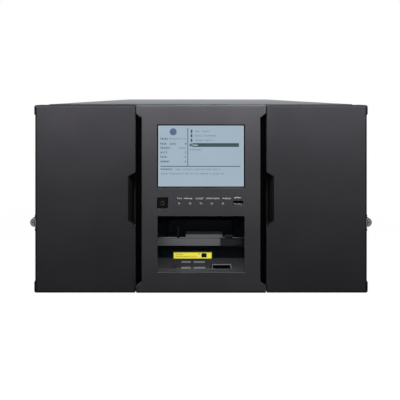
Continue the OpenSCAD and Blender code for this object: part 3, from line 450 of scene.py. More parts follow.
def disc(centre, radius, depth, axis="Y", sides=32, rounding=0.0):
    """A short cylinder with rounded rims, centred on a point."""
    turns = {"X": (0, math.pi / 2, 0), "Y": (math.pi / 2, 0, 0), "Z": (0, 0, 0)}
    bpy.ops.mesh.primitive_cylinder_add(
        vertices=sides, radius=radius, depth=depth, location=centre, rotation=turns[axis]
    )
    piece = settle(bpy.context.active_object)
    if rounding:
        soften(piece, rounding, 2, 50)
    return piece


def joined(pieces):
    """Joins pieces into the first one."""
    bpy.ops.object.select_all(action="DESELECT")
    for piece in pieces:
        piece.select_set(True)
    bpy.context.view_layer.objects.active = pieces[0]
    if len(pieces) > 1:
        bpy.ops.object.join()
    return settle(pieces[0])


def copied(piece, offsets):
    """Copies a piece to each offset, joins the copies and removes the piece."""
    copies = []
    for offset in offsets:
        copy = piece.copy()
        copy.data = piece.data.copy()
        copy.location = Vector(offset)
        bpy.context.scene.collection.objects.link(copy)
        copies.append(copy)
    bpy.data.objects.remove(piece)
    return joined(copies)


def mirrored(piece):
    """A copy of a piece on the other side of the middle, turned the right way out."""
    copy = piece.copy()
    copy.data = piece.data.copy()
    bpy.context.scene.collection.objects.link(copy)
    copy.scale.x = -1
    settle(copy)
    bpy.ops.object.mode_set(mode="EDIT")
    bpy.ops.mesh.select_all(action="SELECT")
    bpy.ops.mesh.normals_make_consistent(inside=False)
    bpy.ops.object.mode_set(mode="OBJECT")
    return copy


def from_node(node):
    """A merged copy of a CAD node's mesh, with its flat faces made whole."""
    source = frame["nodes"][node]
    piece = source.copy()
    piece.data = source.data.copy()
    piece.parent = None
    for key in list(piece.keys()):
        del piece[key]
    bpy.context.scene.collection.objects.link(piece)
    activate(piece)
    bpy.ops.object.mode_set(mode="EDIT")
    bpy.ops.mesh.select_all(action="SELECT")
    bpy.ops.mesh.remove_doubles(threshold=0.002 * MM)
    bpy.ops.mesh.dissolve_limited(angle_limit=math.radians(0.5))
    bpy.ops.object.mode_set(mode="OBJECT")
    return piece


def darken_sides(piece, finish, chosen):
    """Gives a second finish to the faces that are chosen by their centre and normal."""
    piece.data.materials.append(finishes[finish])
    for face in piece.data.polygons:
        if chosen(face.center, face.normal):
            face.material_index = 1
    return piece


def rounded_node(node, rounding, finish, segments=2):
    """A CAD node redrawn with the soft edges of the real piece."""
    source = frame["nodes"][node]
    body, slot = source["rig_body"], source.data.materials[0].name
    piece = soften(from_node(node), rounding, segments)
    finish_piece(piece, node + "_finished", finish, body)
    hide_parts(node)
    return piece


# ---- Sizes and colours ------------------------------------------------------------------


class TapeLibraryFront(bpy.types.PropertyGroup):
    door_rounding: FloatProperty(
        name="Door rounding",
        description="Radius of the doors' edges",
        default=1.1 * MM,
        unit="LENGTH",
    )
    bezel_rounding: FloatProperty(
        name="Bezel rounding",
        description="Radius of the bezel's edges",
        default=0.5 * MM,
        unit="LENGTH",
    )
    ink: FloatProperty(
        name="Ink", description="Thickness of printed marks", default=0.06 * MM, unit="LENGTH"
    )


class TapeLibraryDisplay(bpy.types.PropertyGroup):
    margin: FloatProperty(
        name="Margin",
        description="Frame hidden round the lit area of the display module",
        default=4.6 * MM,
        unit="LENGTH",
    )
    text_height: FloatProperty(
        name="Text height",
        description="Height of a sign in a line",
        default=1.9 * MM,
        unit="LENGTH",
    )


class TapeLibraryStage(bpy.types.PropertyGroup):
    camera_at: FloatVectorProperty(
        name="Camera",
        description="Place of the camera, from the middle of the floor under the doors' faces",
        default=(-0.0106, -0.650, 0.2752),
        subtype="TRANSLATION",
    )
    lens: FloatProperty(name="Lens", description="Focal length in millimetres", default=42.1)
    shift: FloatVectorProperty(
        name="Shift", description="Shift of the camera's view", default=(0.0165, -0.2615), size=2
    )
    front_light: FloatProperty(
        name="Front light", description="Power of the strip light over the doors", default=6.9
    )
    fill_light: FloatProperty(
        name="Fill light", description="Power of the front fill", default=0.03
    )
    top_light: FloatProperty(
        name="Top light", description="Power of the overhead lamp", default=16
    )
    side_light: FloatProperty(
        name="Side light", description="Power of each side and back lamp", default=9
    )
    inner_light: FloatProperty(
        name="Inner light", description="Power of the lamp inside the window", default=0.03
    )
    under_light: FloatProperty(
        name="Under light", description="Power of the lamp over the floor inside", default=0.006
    )
    sky_light: FloatProperty(name="Sky light", description="Strength of the world", default=0.025)


class TapeLibraryColours(bpy.types.PropertyGroup):
    floor: FloatVectorProperty(
        name="Floor", description="Colour of the floor", default=(0.9, 0.9, 0.9), subtype="COLOR"
    )
    floor_bounce: FloatVectorProperty(
        name="Floor bounce",
        description="Share of the light that the floor throws back",
        default=(0.03, 0.03, 0.03),
        subtype="COLOR",
    )


# ---- Front ------------------------------------------------------------------------------


class TAPELIBRARY_OT_front_mouldings(bpy.types.Operator):
    """Redraws the doors and the bezel with moulded edges"""

    bl_idname = "tape_library.front_mouldings"
    bl_label = "Front mouldings"

    def execute(self, context):
        sizes = context.scene.tape_library_front
        inner_rim, outer_band = 1.2 * MM, 8 * MM
        for side in ("left", "right"):
            door = rounded_node(side + "_door", sizes.door_rounding, "door", 3)
            low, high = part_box(side + "_door")
            near, far = sorted((abs(low.x), abs(high.x)))

            def painted_rim_shade(centre, normal, inner=near + inner_rim, outer=far - outer_band):
                """Painted shade: the rims and sides that face away from the front get the darker
                black finish, and the inner rim keeps the charcoal.
                """
                forwards = -0.96 if abs(centre.x) > outer else -0.9
                return abs(centre.x) > inner and normal.y > forwards

            darken_sides(door, "door_rim_shade", painted_rim_shade)
        bezel = rounded_node("front_bezel", sizes.bezel_rounding, "bezel", 3)
        low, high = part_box("front_bezel")

        def shaded_recess(centre, normal):
            """Painted shade: the vents' recesses and the bezel's sides get the black foam finish.
            """
            depth = (0.7 if normal.y > -0.5 else 2.5) * MM
            return abs(centre.x) > high.x - outer_band and centre.y > low.y + depth

        darken_sides(bezel, "foam", shaded_recess)
        return {"FINISHED"}


class TAPELIBRARY_OT_shade_seals(bpy.types.Operator):
    """Adds black foam strips round the doors and behind the grilles: painted shade that darkens
    the gaps and the grilles' holes
    """

    bl_idname = "tape_library.seals"
    bl_label = "Shade seals"

    def execute(self, context):
        bezel_low, bezel_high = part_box("front_bezel")
        door_low, door_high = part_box("right_door")
        cover_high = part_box("top_cover")[1]
        grille_low, grille_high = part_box("vent_grilles")
        gap, lap, recess, strip = 0.15 * MM, 4 * MM, 6 * MM, 7.6 * MM
        behind = (door_high.y + gap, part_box("front_frame")[0].y - gap)
        # Painted shade: dark strips behind the doors' top edge, in the gaps between the doors and
        # the bezel, and behind the grilles
        top = block(
            (bezel_high.x + gap, behind[0], door_high.z - lap),
            (cover_high.x, behind[1], cover_high.z - 0.05 * MM),
            0.2 * MM,
        )
        blade = block(
            (bezel_high.x + gap, door_low.y + recess, bezel_low.z + 0.1 * MM),
            (door_low.x - gap, behind[1], bezel_high.z),
            0.15 * MM,
        )
        shade_strip = block(
            (grille_high.x - strip, grille_high.y + 1 * MM, grille_low.z),
            (grille_high.x, grille_high.y + 2 * MM, grille_high.z),
            0.2 * MM,
        )
        right = joined([top, blade, shade_strip])
        shade_seals = joined([right, mirrored(right)])
        finish_piece(shade_seals, "shade_foam_seals", "foam", "case")
        return {"FINISHED"}


# Strokes of the made-up signs, in shares of a sign's width and height: x0, x1, z0, z1
SIGNS = (
    ((0.0, 0.35, 0.0, 1.0), (0.55, 1.0, 0.0, 0.7)),
    ((0.0, 1.0, 0.0, 0.35), (0.2, 0.8, 0.6, 1.0)),
    ((0.0, 0.35, 0.0, 1.3), (0.35, 1.0, 0.35, 0.65)),
    ((0.0, 0.8, 0.65, 1.0), (0.0, 0.8, 0.0, 0.3)),
    ((0.1, 0.9, 0.0, 0.9),),
)


def text_rows(rows, face, height, thickness, words=True):
    """Rows of made-up signs on a face that looks forwards, with gaps between words if wanted.

    Each row is its start, end and foot.
    """
    places = [[] for _ in SIGNS]
    count = 0
    for row, (start, end, foot) in enumerate(rows):
        letters = max(1, round((end - start) / (0.9 * height)))
        step = (end - start) / letters
        for i in range(letters):
            count += 1
            word = 4 + (row + i // 5) % 4
            if not words or i % (word + 1) != word:
                places[(count * 7 + i // 3) % len(SIGNS)].append((start + i * step, face, foot))
    signs = []
    for strokes, spots in zip(SIGNS, places):
        if spots:
            width = 0.68 * height
            sign = joined([
                block((x0 * width, -thickness, z0 * height), (x1 * width, 0, z1 * height))
                for x0, x1, z0, z1 in strokes
            ])
            signs.append(copied(sign, spots))
    return joined(signs)


# The display's rows in millimetres from its lower left corner: start, end, foot
DARK_ROWS = (
    (3, 25, 58.4), (3, 13.5, 65.4), (3, 17, 52.7), (3, 13, 46.3), (3, 12, 40.1), (3, 18, 33.6),
    (37.4, 39, 58.4), (37, 38.6, 46.3), (37, 38.6, 40.1), (37, 38.6, 33.6), (3.5, 22, 22.9),
)
FAINT_ROWS = (
    (24.4, 87.5, 22.9), (3.5, 92, 16.8), (29, 38.6, 52.7), (15, 38, 65.6), (51, 72, 75.9),
    (51, 81, 69.8), (51, 79, 63.3), (44, 60, 50.4),
)


class TAPELIBRARY_OT_display(bpy.types.Operator):
    """Adds the lit screen with its panels, lines of signs and menu bar"""

    bl_idname = "tape_library.display"
    bl_label = "Display"

    def execute(self, context):
        sizes = context.scene.tape_library_display
        low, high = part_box("display_panel")
        left, right = low.x + sizes.margin, high.x - sizes.margin
        bottom, top = low.z + sizes.margin, high.z - sizes.margin
        width, height = (right - left) / MM, (top - bottom) / MM
        face = low.y
        text = sizes.text_height
        t, corner = 0.08 * MM, 0.03 * MM

        def plate(x, z, lift, rounding=0.0):
            """A thin plate on the screen, between two distances from its lower left corner."""
            return block(
                (left + x[0] * MM, face - (lift + 1) * t, bottom + z[0] * MM),
                (left + x[1] * MM, face - lift * t, bottom + z[1] * MM),
                rounding,
            )

        def add(pieces, name, finish):
            finish_piece(joined(pieces), name, finish, "case")

        def rows(table, size):
            """A table's rows, as signs of one height."""
            places = [(left + a * MM, left + b * MM, bottom + z * MM) for a, b, z in table]
            return text_rows(places, face - t, size, t)

        add([plate((0, width), (0, height), 0, 0.02 * MM)], "display_lit_area", "screen")
        # Painted highlight: thin glowing strips along the lit area's left, right and top edges
        edges = [
            plate((0.1, 1.1), (0.6, height - 0.6), 1),
            plate((width - 1.2, width - 0.1), (0.6, height - 0.6), 1),
            plate((1.1, width - 1.2), (height - 0.6, height - 0.1), 1),
        ]
        add(edges, "display_edge_highlights", "screen_edge_highlight")
        rules = [plate((40.6, 41.5), (28.4, 81.4), 1), plate((3.1, width - 4.9), (27.6, 28.6), 1)]
        add(rules, "display_rules", "screen_line")
        menu_bar = plate((47.6, width - 6.6), (55.2, 60.4), 1, corner)
        add([menu_bar], "display_menu_bar", "screen_bar")
        icons = [
            disc((left + 20.7 * MM, face - 1.5 * t, bottom + 76.2 * MM), 4.9 * MM, t, sides=40),
            plate((43.4, 47.2), (55.8, 59.8), 1, corner),
        ]
        add(icons, "display_icons", "screen_icon")
        bullets = [
            plate((45.2, 47.4), (z - 2.2, z + 2.2), 1, corner) for z in (76.9, 70.8, 64.3)
        ]
        add([rows(DARK_ROWS, text * 1.3), *bullets], "display_text", "screen_text")
        add([rows(FAINT_ROWS, text)], "display_faint_text", "screen_faint")
        chosen = [(left + 48.6 * MM, left + 58.5 * MM, bottom + 56.7 * MM)]
        add([text_rows(chosen, face - 2 * t, text, t)], "display_chosen_text", "screen_light")
        return {"FINISHED"}


# The printed legends in millimetres along the row of lamps: start, end
LEGENDS = ((-33.2, -26.3), (-23.9, -11.9), (-7.7, 4.0), (7.3, 26.3), (29.5, 42.1))


class TAPELIBRARY_OT_controls(bpy.types.Operator):
    """Adds the power button with its symbol, the lamps' legends and the port's printed mark"""

    bl_idname = "tape_library.controls"
    bl_label = "Controls"

    def execute(self, context):
        ink = context.scene.tape_library_front.ink
        rounded_node("power_button", 0.5 * MM, "deep_black", 3)
        low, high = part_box("power_button")
        centre = (low + high) / 2
        stroke = 0.3 * MM
        bpy.ops.mesh.primitive_torus_add(
            major_radius=2.6 * MM,
            minor_radius=stroke,
            major_segments=40,
            minor_segments=8,
            location=(centre.x, low.y, centre.z),
            rotation=(math.pi / 2, 0, 0),
        )
        ring = settle(bpy.context.active_object)
        stem = block(
            (centre.x - stroke, low.y - stroke, centre.z + 0.6 * MM),
            (centre.x + stroke, low.y, centre.z + 3.8 * MM),
            0.1 * MM,
        )
        finish_piece(joined([ring, stem]), "power_symbol", "olive", "button")

        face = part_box("front_bezel")[0].y
        lamps_low, lamps_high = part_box("status_lights")
        port_low, port_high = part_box("usb_port")
        x, z = (port_low.x + port_high.x) / 2, (lamps_low.z + lamps_high.z) / 2

        def mark(start, end, foot, top):
            """A printed bar above the port, in millimetres from the middle of the controls."""
            return block(
                (x + start * MM, face - ink, z + foot * MM), (x + end * MM, face, z + top * MM)
            )

        legends = [(start * MM, end * MM, z + 5.7 * MM) for start, end in LEGENDS]
        marks = [
            text_rows(legends, face, 1.9 * MM, ink, words=False),
            mark(-3.4, 4.6, 7.2, 8.0),
            disc((x - 3.8 * MM, face - ink / 2, z + 7.6 * MM), 1.0 * MM, ink, sides=20),
            mark(-0.6, 0.2, 8.0, 9.2),
            mark(1.2, 2.0, 6.0, 7.2),
        ]
        finish_piece(joined(marks), "control_legends", "white_ink", "case")
        return {"FINISHED"}


class TAPELIBRARY_OT_usb_port(bpy.types.Operator):
    """Redraws the USB port as a shell with its contact tongue low in it"""

    bl_idname = "tape_library.usb_port"
    bl_label = "USB port"

    def execute(self, context):
        low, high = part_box("usb_port")
        wall, corner = 0.4 * MM, 0.1 * MM
        walls = [
            block(low, (high.x, high.y, low.z + wall), corner),
            block((low.x, low.y, high.z - wall), high, corner),
            block((low.x, high.y - wall, low.z), high, corner),
            block(low, (low.x + wall, high.y, high.z), corner),
            block((high.x - wall, low.y, low.z), high, corner),
        ]
        # The shell's near-black nickel is painted shade
        shell = finish_piece(joined(walls), "usb_shell", "shell", "case")
        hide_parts("usb_port")
        tongue = block(
            (low.x + 2 * wall, low.y + wall, low.z + 0.5 * MM),
            (high.x - 2 * wall, high.y - wall, low.z + 2.2 * MM),
            0.2 * MM,
        )
        finish_piece(tongue, "usb_tongue", "light", "case")
        return {"FINISHED"}


class TAPELIBRARY_OT_floor_label(bpy.types.Operator):
    """Adds the yellow label on the bracket that stands on the floor inside the window"""

    bl_idname = "tape_library.floor_label"
    bl_label = "Floor label"

    def execute(self, context):
        low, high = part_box("floor_bracket")
        height = 10.6 * MM
        face = low.y - 0.15 * MM
        label = block(
            (low.x + 1.3 * MM, face, high.z - height),
            (high.x - 0.9 * MM, low.y, high.z - 1.6 * MM),
            0.05 * MM,
        )
        # The yellow finish glows a little: painted light
        finish_piece(label, "floor_label", "yellow", "case")
        ink = 0.06 * MM
        x, z = low.x, high.z - height

        def mark(start, end, foot, top):
            """A printed bar, in millimetres from the bracket's side and the label's foot."""
            return block(
                (x + start * MM, face - ink, z + foot * MM), (x + end * MM, face, z + top * MM)
            )

        lines = [
            (x + 4 * MM, x + 16 * MM, z + 6.2 * MM),
            (x + 4 * MM, x + 36 * MM, z + 2.8 * MM),
        ]
        thin = [
            text_rows(lines, face, 1.0 * MM, ink), mark(4, 16.5, 5.4, 5.7), mark(4, 37, 2.0, 2.3)
        ]
        finish_piece(joined(thin), "floor_label_lines", "dull_ink", "case")
        dark = [mark(39.4, 40.2, 5.6, 8.8), mark(43.3, 51.2, 1.6, 7.6), mark(44.4, 50.4, 7.6, 8.2)]
        finish_piece(joined(dark), "floor_label_blocks", "black_ink", "case")
        return {"FINISHED"}


def knurled_head(centre, radius, length):
    """A turned head with a knurled rim, a chamfered face and a cross recess."""
    bpy.ops.mesh.primitive_cylinder_add(
        vertices=72, radius=radius, depth=length, location=(0, 0, 0), rotation=(math.pi / 2, 0, 0)
    )
    head = settle(bpy.context.active_object)
    bpy.ops.object.mode_set(mode="EDIT")
    mesh = bmesh.from_edit_mesh(head.data)
    bpy.ops.mesh.select_all(action="DESELECT")
    for face in mesh.faces:
        if face.normal.y < -0.9:
            face.select = True
    bmesh.update_edit_mesh(head.data)
    bpy.ops.mesh.inset(thickness=radius * 0.14)
    bpy.ops.transform.translate(value=(0, -radius * 0.08, 0))
    bpy.ops.mesh.inset(thickness=radius * 0.25)
    bpy.ops.transform.translate(value=(0, radius * 0.05, 0))
    mesh = bmesh.from_edit_mesh(head.data)
    bpy.ops.mesh.select_all(action="DESELECT")
    sides = [f for f in mesh.faces if abs(f.normal.y) < 0.1]
    for face in sides:
        face.select = True
    bmesh.update_edit_mesh(head.data)
    bpy.ops.mesh.inset(thickness=radius * 0.018, use_individual=True)
    bpy.ops.transform.shrink_fatten(value=-radius * 0.05)
    bpy.ops.object.mode_set(mode="OBJECT")
    for slot_turn in (0, math.pi / 2):
        bpy.ops.mesh.primitive_cube_add(size=1, location=(0, -length / 2, 0))
        cutter = bpy.context.active_object
        cutter.scale = (radius * 1.1, radius * 0.5, radius * 0.2)
        cutter.rotation_euler = (0, slot_turn, 0)
        settle(cutter)
        apply_modifier(head, "BOOLEAN", object=cutter, operation="DIFFERENCE", solver="EXACT")
        bpy.data.objects.remove(cutter)
    head.location = centre
    return settle(head)


class TAPELIBRARY_OT_thumbscrews(bpy.types.Operator):
    """Redraws the two rack thumbscrews with knurled heads"""

    bl_idname = "tape_library.thumbscrews"
    bl_label = "Thumbscrews"

    def execute(self, context):
        head_length, shank_from = 14 * MM, 24 * MM
        for side in ("left", "right"):
            low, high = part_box(side + "_thumbscrew")
            x, z = (low.x + high.x) / 2, (low.z + high.z) / 2
            radius = (high.x - low.x) / 2

            def ring(middle, size, length, sides, rounding=0.0, x=x, z=z, start=low.y):
                """A turned section, by its middle's distance from the screw's front end."""
                return disc((x, start + middle, z), size, length, sides=sides, rounding=rounding)

            head_at = (x, low.y + head_length / 2 + 0.5 * MM, z)
            shank = high.y - low.y - shank_from
            sections = [
                knurled_head(head_at, radius, head_length - 1 * MM),
                ring(20.5 * MM, 4.2 * MM, 13 * MM, 48),
                ring(shank_from, 5.5 * MM, 1.4 * MM, 48, 0.2 * MM),
                ring(shank_from + shank / 2, 3 * MM, shank, 32, 0.4 * MM),
                ring(27.9 * MM, 5 * MM, 1.2 * MM, 32, 0.1 * MM),
            ]
            screw = joined(sections)
            name = side + "_thumbscrew_finished"
            finish_piece(screw, name, "thumb", side + "_screw")
            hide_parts(side + "_thumbscrew")
        return {"FINISHED"}


# ---- Finishes of the plain nodes --------------------------------------------------------

NODE_FINISHES = {
    "zinc": (
        "rear_panel", "front_frame",
        "magazine_guides", "drive_cage", "library_controller", "network_jacks", "drive_blanks",
        "tape_drive_1", "tape_drive_2", "tape_drive_3", "lower_power_supply",
        "upper_power_supply",
    ),
    "floor_zinc": ("base_pan", "left_rack_ear", "right_rack_ear"),
    "cover": ("top_cover",),
    "grille": ("vent_grilles",),
    "deep_black": ("display_panel",),
    "black": ("lower_psu_fan", "upper_psu_fan", "shaft_bearings"),
    "dark": (
        "turntable", "left_magazine_tray", "right_magazine_tray",
        "left_magazine_top", "right_magazine_top", "left_dividers", "right_dividers",
        "left_shelves", "right_shelves",
    ),
    "cartridge": ("left_cartridges", "right_cartridges"),
    "board": ("control_board",),
    "light": ("status_lights",),
    "pane": ("viewing_window",),
    "rod": (
        "lift_racks", "guide_rods", "front_lift_shaft", "rear_left_pinion",
        "rear_right_pinion", "left_finger", "right_finger",
    ),
    "robot": (
        "floor_bracket", "front_crossbeam", "rear_crossbeam", "lift_motor", "carriage", "gripper",
    ),
    "rail": ("side_rails",),
    "screw": ("case_screws",),
    "latch": ("lower_psu_latch", "upper_psu_latch"),
}


# Units whose handles and captive screws stand out from their plates at the back
REAR_UNITS = (
    "library_controller", "drive_blanks", "tape_drive_1", "tape_drive_2", "tape_drive_3",
    "lower_power_supply", "upper_power_supply",
)


class TAPELIBRARY_OT_cartridge_labels(bpy.types.Operator):
    """Adds the coded labels on the inner ends of the cartridges"""

    bl_idname = "tape_library.cartridge_labels"
    bl_label = "Cartridge labels"

    def execute(self, context):
        pitch_y, pitch_z = 110 * MM, 23.4 * MM
        half_length, half_height = 52.7 * MM, 10.75 * MM
        ink = 0.06
        for side, sign, empty in (("left", -1, (1, 2)), ("right", 1, (0, 6))):
            low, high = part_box(side + "_cartridges")
            inner = sign * min(abs(low.x), abs(high.x))
            y, z = low.y + half_length, low.z + half_height
            places = [
                (inner, y + pitch_y * column, z + pitch_z * row)
                for column in range(4)
                for row in range(10)
                if (column, row) != empty
            ]

            def mark(start, end, foot, top, lift, sign=sign):
                """A thin plate on the end of a cartridge at the origin, in millimetres."""
                near, far = sorted((-sign * lift * MM, -sign * (lift + ink) * MM))
                return block((near, start * MM, foot * MM), (far, end * MM, top * MM))

            def add(pieces, name, finish, side=side, places=places):
                """Puts the marks on each cartridge of a magazine."""
                piece = copied(joined(pieces), places)
                finish_piece(piece, side + name, finish, side + "_magazine")

            add([mark(-37, 37, -6, 6, 0)], "_labels", "paper")
            bars = [
                mark(-32 + 3.2 * i, -30.8 + 3.2 * i + 0.5 * (i % 3), -5, 0.6, ink)
                for i in range(20)
            ]
            add(bars, "_label_bars", "black_ink")
            for step, finish in enumerate(("red_ink", "blue_ink", "green_ink")):
                squares = [
                    mark(-30 + 10 * i, -23 + 10 * i, 1.2, 5.4, ink) for i in range(step, 6, 3)
                ]
                add(squares, "_label_" + finish, finish)
        return {"FINISHED"}


# Glowing pads of painted highlight on the floor's embosses and round a box outline, in
# millimetres: from side to side, and from the doors' faces
FLOOR_HIGHLIGHTS = (((-30, -15), (82, 94)), ((-10, 8), (82, 94)),
              ((-30, -15), (114, 120)), ((-10, 8), (114, 120)))
FLOOR_OUTLINE_HIGHLIGHTS = (((19, 50), (74, 75.2)), ((19, 50), (104, 107)),
                 ((19, 20.2), (75.2, 104)), ((48.8, 50), (75.2, 104)))


class TAPELIBRARY_OT_inside(bpy.types.Operator):
    """Adds the floor plate, glowing pads of painted highlight on it, and the filter behind the
    rear slots
    """

    bl_idname = "tape_library.inside"
    bl_label = "Inside"

    def execute(self, context):
        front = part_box("front_bezel")[0].y

        def slab(across, along, z, rounding):
            """A flat block on the floor, in millimetres."""
            return block(
                (across[0] * MM, front + along[0] * MM, z[0] * MM),
                (across[1] * MM, front + along[1] * MM, z[1] * MM),
                rounding * MM,
            )

        plate = slab((-88, 88), (65.3, 138), (1.2, 1.6), 0.1)
        finish_piece(plate, "floor_plate", "floor_coat", "case")
        # Painted highlight: the pads and the outline glow a little
        highlight_caps = [slab(across, along, (1.6, 2.5), 0.2) for across, along in FLOOR_HIGHLIGHTS]
        highlight_caps += [slab(across, along, (1.6, 2.1), 0.1) for across, along in FLOOR_OUTLINE_HIGHLIGHTS]
        finish_piece(joined(highlight_caps), "floor_highlight_caps", "highlight_film", "case")
        inlay = slab((20.2, 48.8), (75.2, 104), (1.5, 1.9), 0.05)
        finish_piece(inlay, "floor_inlay", "dark", "case")
        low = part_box("rear_panel")[0]
        foam = block(
            (92 * MM, low.y - 1.0 * MM, 9 * MM), (214 * MM, low.y - 0.15 * MM, 240 * MM), 0.2 * MM
        )
        finish_piece(foam, "rear_filter", "foam", "case")
        return {"FINISHED"}


class TAPELIBRARY_OT_node_finishes(bpy.types.Operator):
    """Gives each remaining sub-part its material"""

    bl_idname = "tape_library.node_finishes"
    bl_label = "Sub-part finishes"

    def execute(self, context):
        for finish, nodes in NODE_FINISHES.items():
            for node in nodes:
                mesh = frame["nodes"][node].data
                mesh.materials.clear()
                mesh.materials.append(finishes[finish])
        nodes = frame["nodes"]
        plates_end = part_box("rear_panel")[1].y + 2.5 * MM
        for node in REAR_UNITS:
            darken_sides(nodes[node], "screw", lambda centre, normal: centre.y > plates_end)
        # The pin at the robot's home place is black. The cover's lip behind the bezel gets the
        # black finish as painted shade.
        pin_end = -31.3 * MM
        darken_sides(nodes["lift_motor"], "dark", lambda centre, normal: centre.x < pin_end)
        darken_sides(nodes["top_cover"], "dark", lambda centre, normal: normal.y < -0.7)
        return {"FINISHED"}


# ---- Stage ------------------------------------------------------------------------------


def join_rays(tree, first, second):
    """One where either kind of ray is."""
    node = add_node(tree, "ShaderNodeMath", {"operation": "MAXIMUM"})
    tree.links.new(first, node.inputs[0])
    tree.links.new(second, node.inputs[1])
    return node.outputs[0]


def seen_rays(tree):
    """One for the rays of the camera, of gloss and through glass."""
    rays = add_node(tree, "ShaderNodeLightPath")
    seen = join_rays(tree, rays.outputs["Is Camera Ray"], rays.outputs["Is Glossy Ray"])
    return join_rays(tree, seen, rays.outputs["Is Transmission Ray"])


def area_lamp(name, place, target, size, power):
    """A soft rectangular lamp that looks at a point."""
    lamp = bpy.data.lights.new(name, "AREA")
    lamp.shape = "RECTANGLE"
    lamp.size, lamp.size_y = size
    lamp.energy = power
    holder = bpy.data.objects.new(name, lamp)
    holder.location = place
    look = Vector(target) - Vector(place)
    holder.rotation_euler = look.to_track_quat("-Z", "Y").to_euler()
    holder.visible_camera = False
    bpy.context.scene.collection.objects.link(holder)
    return holder


def make_floor(colours):
    """A floor that is white to the eye, and throws as little light back as a shaded one."""
    bpy.ops.mesh.primitive_plane_add(size=14, location=(0, 0, -0.5 * MM))
    floor = settle(bpy.context.active_object)
    floor.name = "floor"
    material, tree, shader = new_material(
        "matt white floor", {"Roughness": 0.9, "Specular IOR Level": 0.0}
    )
    rays = add_node(tree, "ShaderNodeLightPath")
    tint = add_node(
        tree, "ShaderNodeMix", {"data_type": "RGBA"}, {0: rays.outputs["Is Camera Ray"]}
    )
    tint.inputs[6].default_value = (*colours.floor_bounce, 1)
    tint.inputs[7].default_value = (*colours.floor, 1)
    tree.links.new(tint.outputs[2], shader.inputs["Base Color"])
    # Close to the case a little of the real shading shows, and none of it far away
    place = add_node(tree, "ShaderNodeTexCoord")
    away = add_node(
        tree, "ShaderNodeVectorMath", {"operation": "LENGTH"}, {0: place.outputs["Object"]}
    )
    share = add_node(
        tree,
        "ShaderNodeMapRange",
        inputs={
            "Value": away.outputs["Value"],
            "From Min": 0.5,
            "From Max": 1.3,
            "To Min": 0.95,
            "To Max": 1.0,
        },
    )
    seen = seen_rays(tree)
    amount = add_node(
        tree, "ShaderNodeMath", {"operation": "MULTIPLY"}, {0: seen, 1: share.outputs[0]}
    )
    glow = add_node(
        tree, "ShaderNodeEmission", inputs={"Color": (1, 1, 1, 1), "Strength": 1.0}
    )
    white = add_node(
        tree,
        "ShaderNodeMixShader",
        inputs={"Fac": amount.outputs[0], 1: shader.outputs[0], 2: glow.outputs[0]},
    )
    output = next(n for n in tree.nodes if n.type == "OUTPUT_MATERIAL")
    tree.links.new(white.outputs[0], output.inputs["Surface"])
    floor.data.materials.append(material)
    floor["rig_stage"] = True


def make_world(scene, level):
    """A studio that is white to the eye and gives only a little light."""
    world = bpy.data.worlds.new("soft white studio")
    scene.world = world
    world.use_nodes = True
    tree = world.node_tree
    tree.nodes.clear()
    strength = add_node(
        tree,
        "ShaderNodeMapRange",
        inputs={"Value": seen_rays(tree), "To Min": level, "To Max": 1.0},
    )
    sky = add_node(
        tree,
        "ShaderNodeBackground",
        inputs={"Color": (1, 1, 1, 1), "Strength": strength.outputs[0]},
    )
    add_node(tree, "ShaderNodeOutputWorld", inputs={"Surface": sky.outputs[0]})


def make_lamps(sizes, front, back):
    """A strip light over the doors with its flag, a fill, a ring of soft lamps and two inside."""
    middle = (front + back) / 2
    area_lamp(
        "strip_light", (0, front - 0.12, 0.42), (0, front, 0.26), (1.5, 0.06), sizes.front_light
    )
    # A black flag keeps the strip light's spill off the cover
    bpy.ops.mesh.primitive_plane_add(
        size=1, location=(0, front, 0.44), rotation=(math.pi / 2, 0, 0)
    )
    flag = bpy.context.active_object
    flag.scale = (2.0, 0.334, 1)
    settle(flag)
    flag.name = "light_flag"
    flag.data.materials.append(finishes["foam"])
    flag.visible_camera = flag.visible_glossy = flag.visible_transmission = False
    flag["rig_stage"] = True
    area_lamp(
        "front_fill", (0, front - 1.2, 0.55), (0, front, 0.08), (0.9, 0.5), sizes.fill_light
    )
    over = middle + 0.15
    area_lamp("top_light", (0, over, 1.4), (0, over, 0), (2.0, 0.7), sizes.top_light)
    half_height, power = 0.13, sizes.side_light
    for side in (-1, 1):
        place = (side * 1.4, middle + 0.1, 0.75)
        area_lamp("side_light", place, (0, middle, half_height), (0.9, 0.7), power)
    area_lamp("back_light", (0.3, back + 1.1, 0.9), (0, back, half_height), (1.0, 0.7), power)

    pane_low, pane_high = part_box("viewing_window")
    window = (pane_low + pane_high) / 2
    inside = pane_high.y
    inner = area_lamp(
        "inner_light",
        (window.x, inside + 1.5 * MM, window.z),
        (window.x, inside + 60 * MM, window.z - 10 * MM),
        (0.11, 0.05),
        sizes.inner_light,
    )
    under = area_lamp(
        "floor_light",
        (window.x, inside + 95 * MM, 46 * MM),
        (window.x, inside + 95 * MM, 0),
        (0.15, 0.06),
        sizes.under_light,
    )
    inner.visible_glossy = under.visible_glossy = False


def make_camera(scene, sizes, front):
    """The camera, level and close in front, with its view shifted down."""
    camera = bpy.data.cameras.new("camera")
    camera.lens = sizes.lens
    camera.shift_x, camera.shift_y = sizes.shift
    camera.clip_start = 0.01
    holder = bpy.data.objects.new("camera", camera)
    offset = Vector(sizes.camera_at)
    holder.location = (offset.x, front + offset.y, offset.z)
    holder.rotation_euler = (math.pi / 2, 0, 0)
    scene.collection.objects.link(holder)
    scene.camera = holder


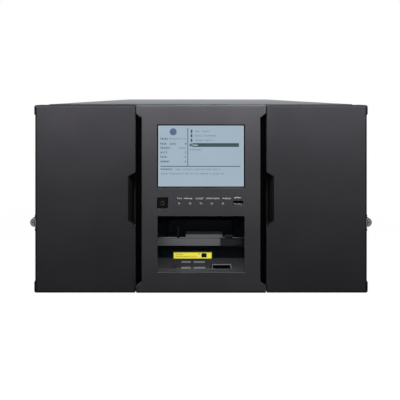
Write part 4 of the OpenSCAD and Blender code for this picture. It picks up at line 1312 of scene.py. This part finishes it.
class TAPELIBRARY_OT_stage(bpy.types.Operator):
    """Adds the floor, the world, the lamps and the camera"""

    bl_idname = "tape_library.stage"
    bl_label = "Stage"

    def execute(self, context):
        scene = context.scene
        sizes = scene.tape_library_stage
        low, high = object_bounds()
        make_floor(scene.tape_library_colours)
        make_world(scene, sizes.sky_light)
        make_lamps(sizes, low[1], high[1])
        make_camera(scene, sizes, low[1])
        scene.view_settings.view_transform = "Standard"
        return {"FINISHED"}


# ---- Panel and registration -------------------------------------------------------------

OPERATORS = (
    TAPELIBRARY_OT_front_mouldings,
    TAPELIBRARY_OT_shade_seals,
    TAPELIBRARY_OT_display,
    TAPELIBRARY_OT_controls,
    TAPELIBRARY_OT_usb_port,
    TAPELIBRARY_OT_floor_label,
    TAPELIBRARY_OT_thumbscrews,
    TAPELIBRARY_OT_cartridge_labels,
    TAPELIBRARY_OT_inside,
    TAPELIBRARY_OT_node_finishes,
    TAPELIBRARY_OT_stage,
)
GROUPS = {
    "tape_library_front": TapeLibraryFront,
    "tape_library_display": TapeLibraryDisplay,
    "tape_library_stage": TapeLibraryStage,
    "tape_library_colours": TapeLibraryColours,
}


class TAPELIBRARY_PT_panel(bpy.types.Panel):
    """Lists the steps that finish the tape library"""

    bl_idname = "TAPELIBRARY_PT_panel"
    bl_label = "Tape Library"
    bl_space_type = "VIEW_3D"
    bl_region_type = "UI"
    bl_category = "Tape Library"

    def draw(self, context):
        for operator in OPERATORS:
            self.layout.operator(operator.bl_idname)
        for name, group in GROUPS.items():
            box = self.layout.box()
            for prop in group.__annotations__:
                box.prop(getattr(context.scene, name), prop)


def register():
    for cls in (*GROUPS.values(), *OPERATORS, TAPELIBRARY_PT_panel):
        bpy.utils.register_class(cls)
    for name, group in GROUPS.items():
        setattr(bpy.types.Scene, name, PointerProperty(type=group))


def unregister():
    for name in GROUPS:
        delattr(bpy.types.Scene, name)
    for cls in reversed((*GROUPS.values(), *OPERATORS, TAPELIBRARY_PT_panel)):
        bpy.utils.unregister_class(cls)


def main():
    """Runs each step in order."""
    register()
    finishes.update(make_finishes())
    for operator in OPERATORS:
        group, name = operator.bl_idname.split(".")
        getattr(getattr(bpy.ops, group), name)()


finishes = {}

if __name__ == "__main__":
    main()
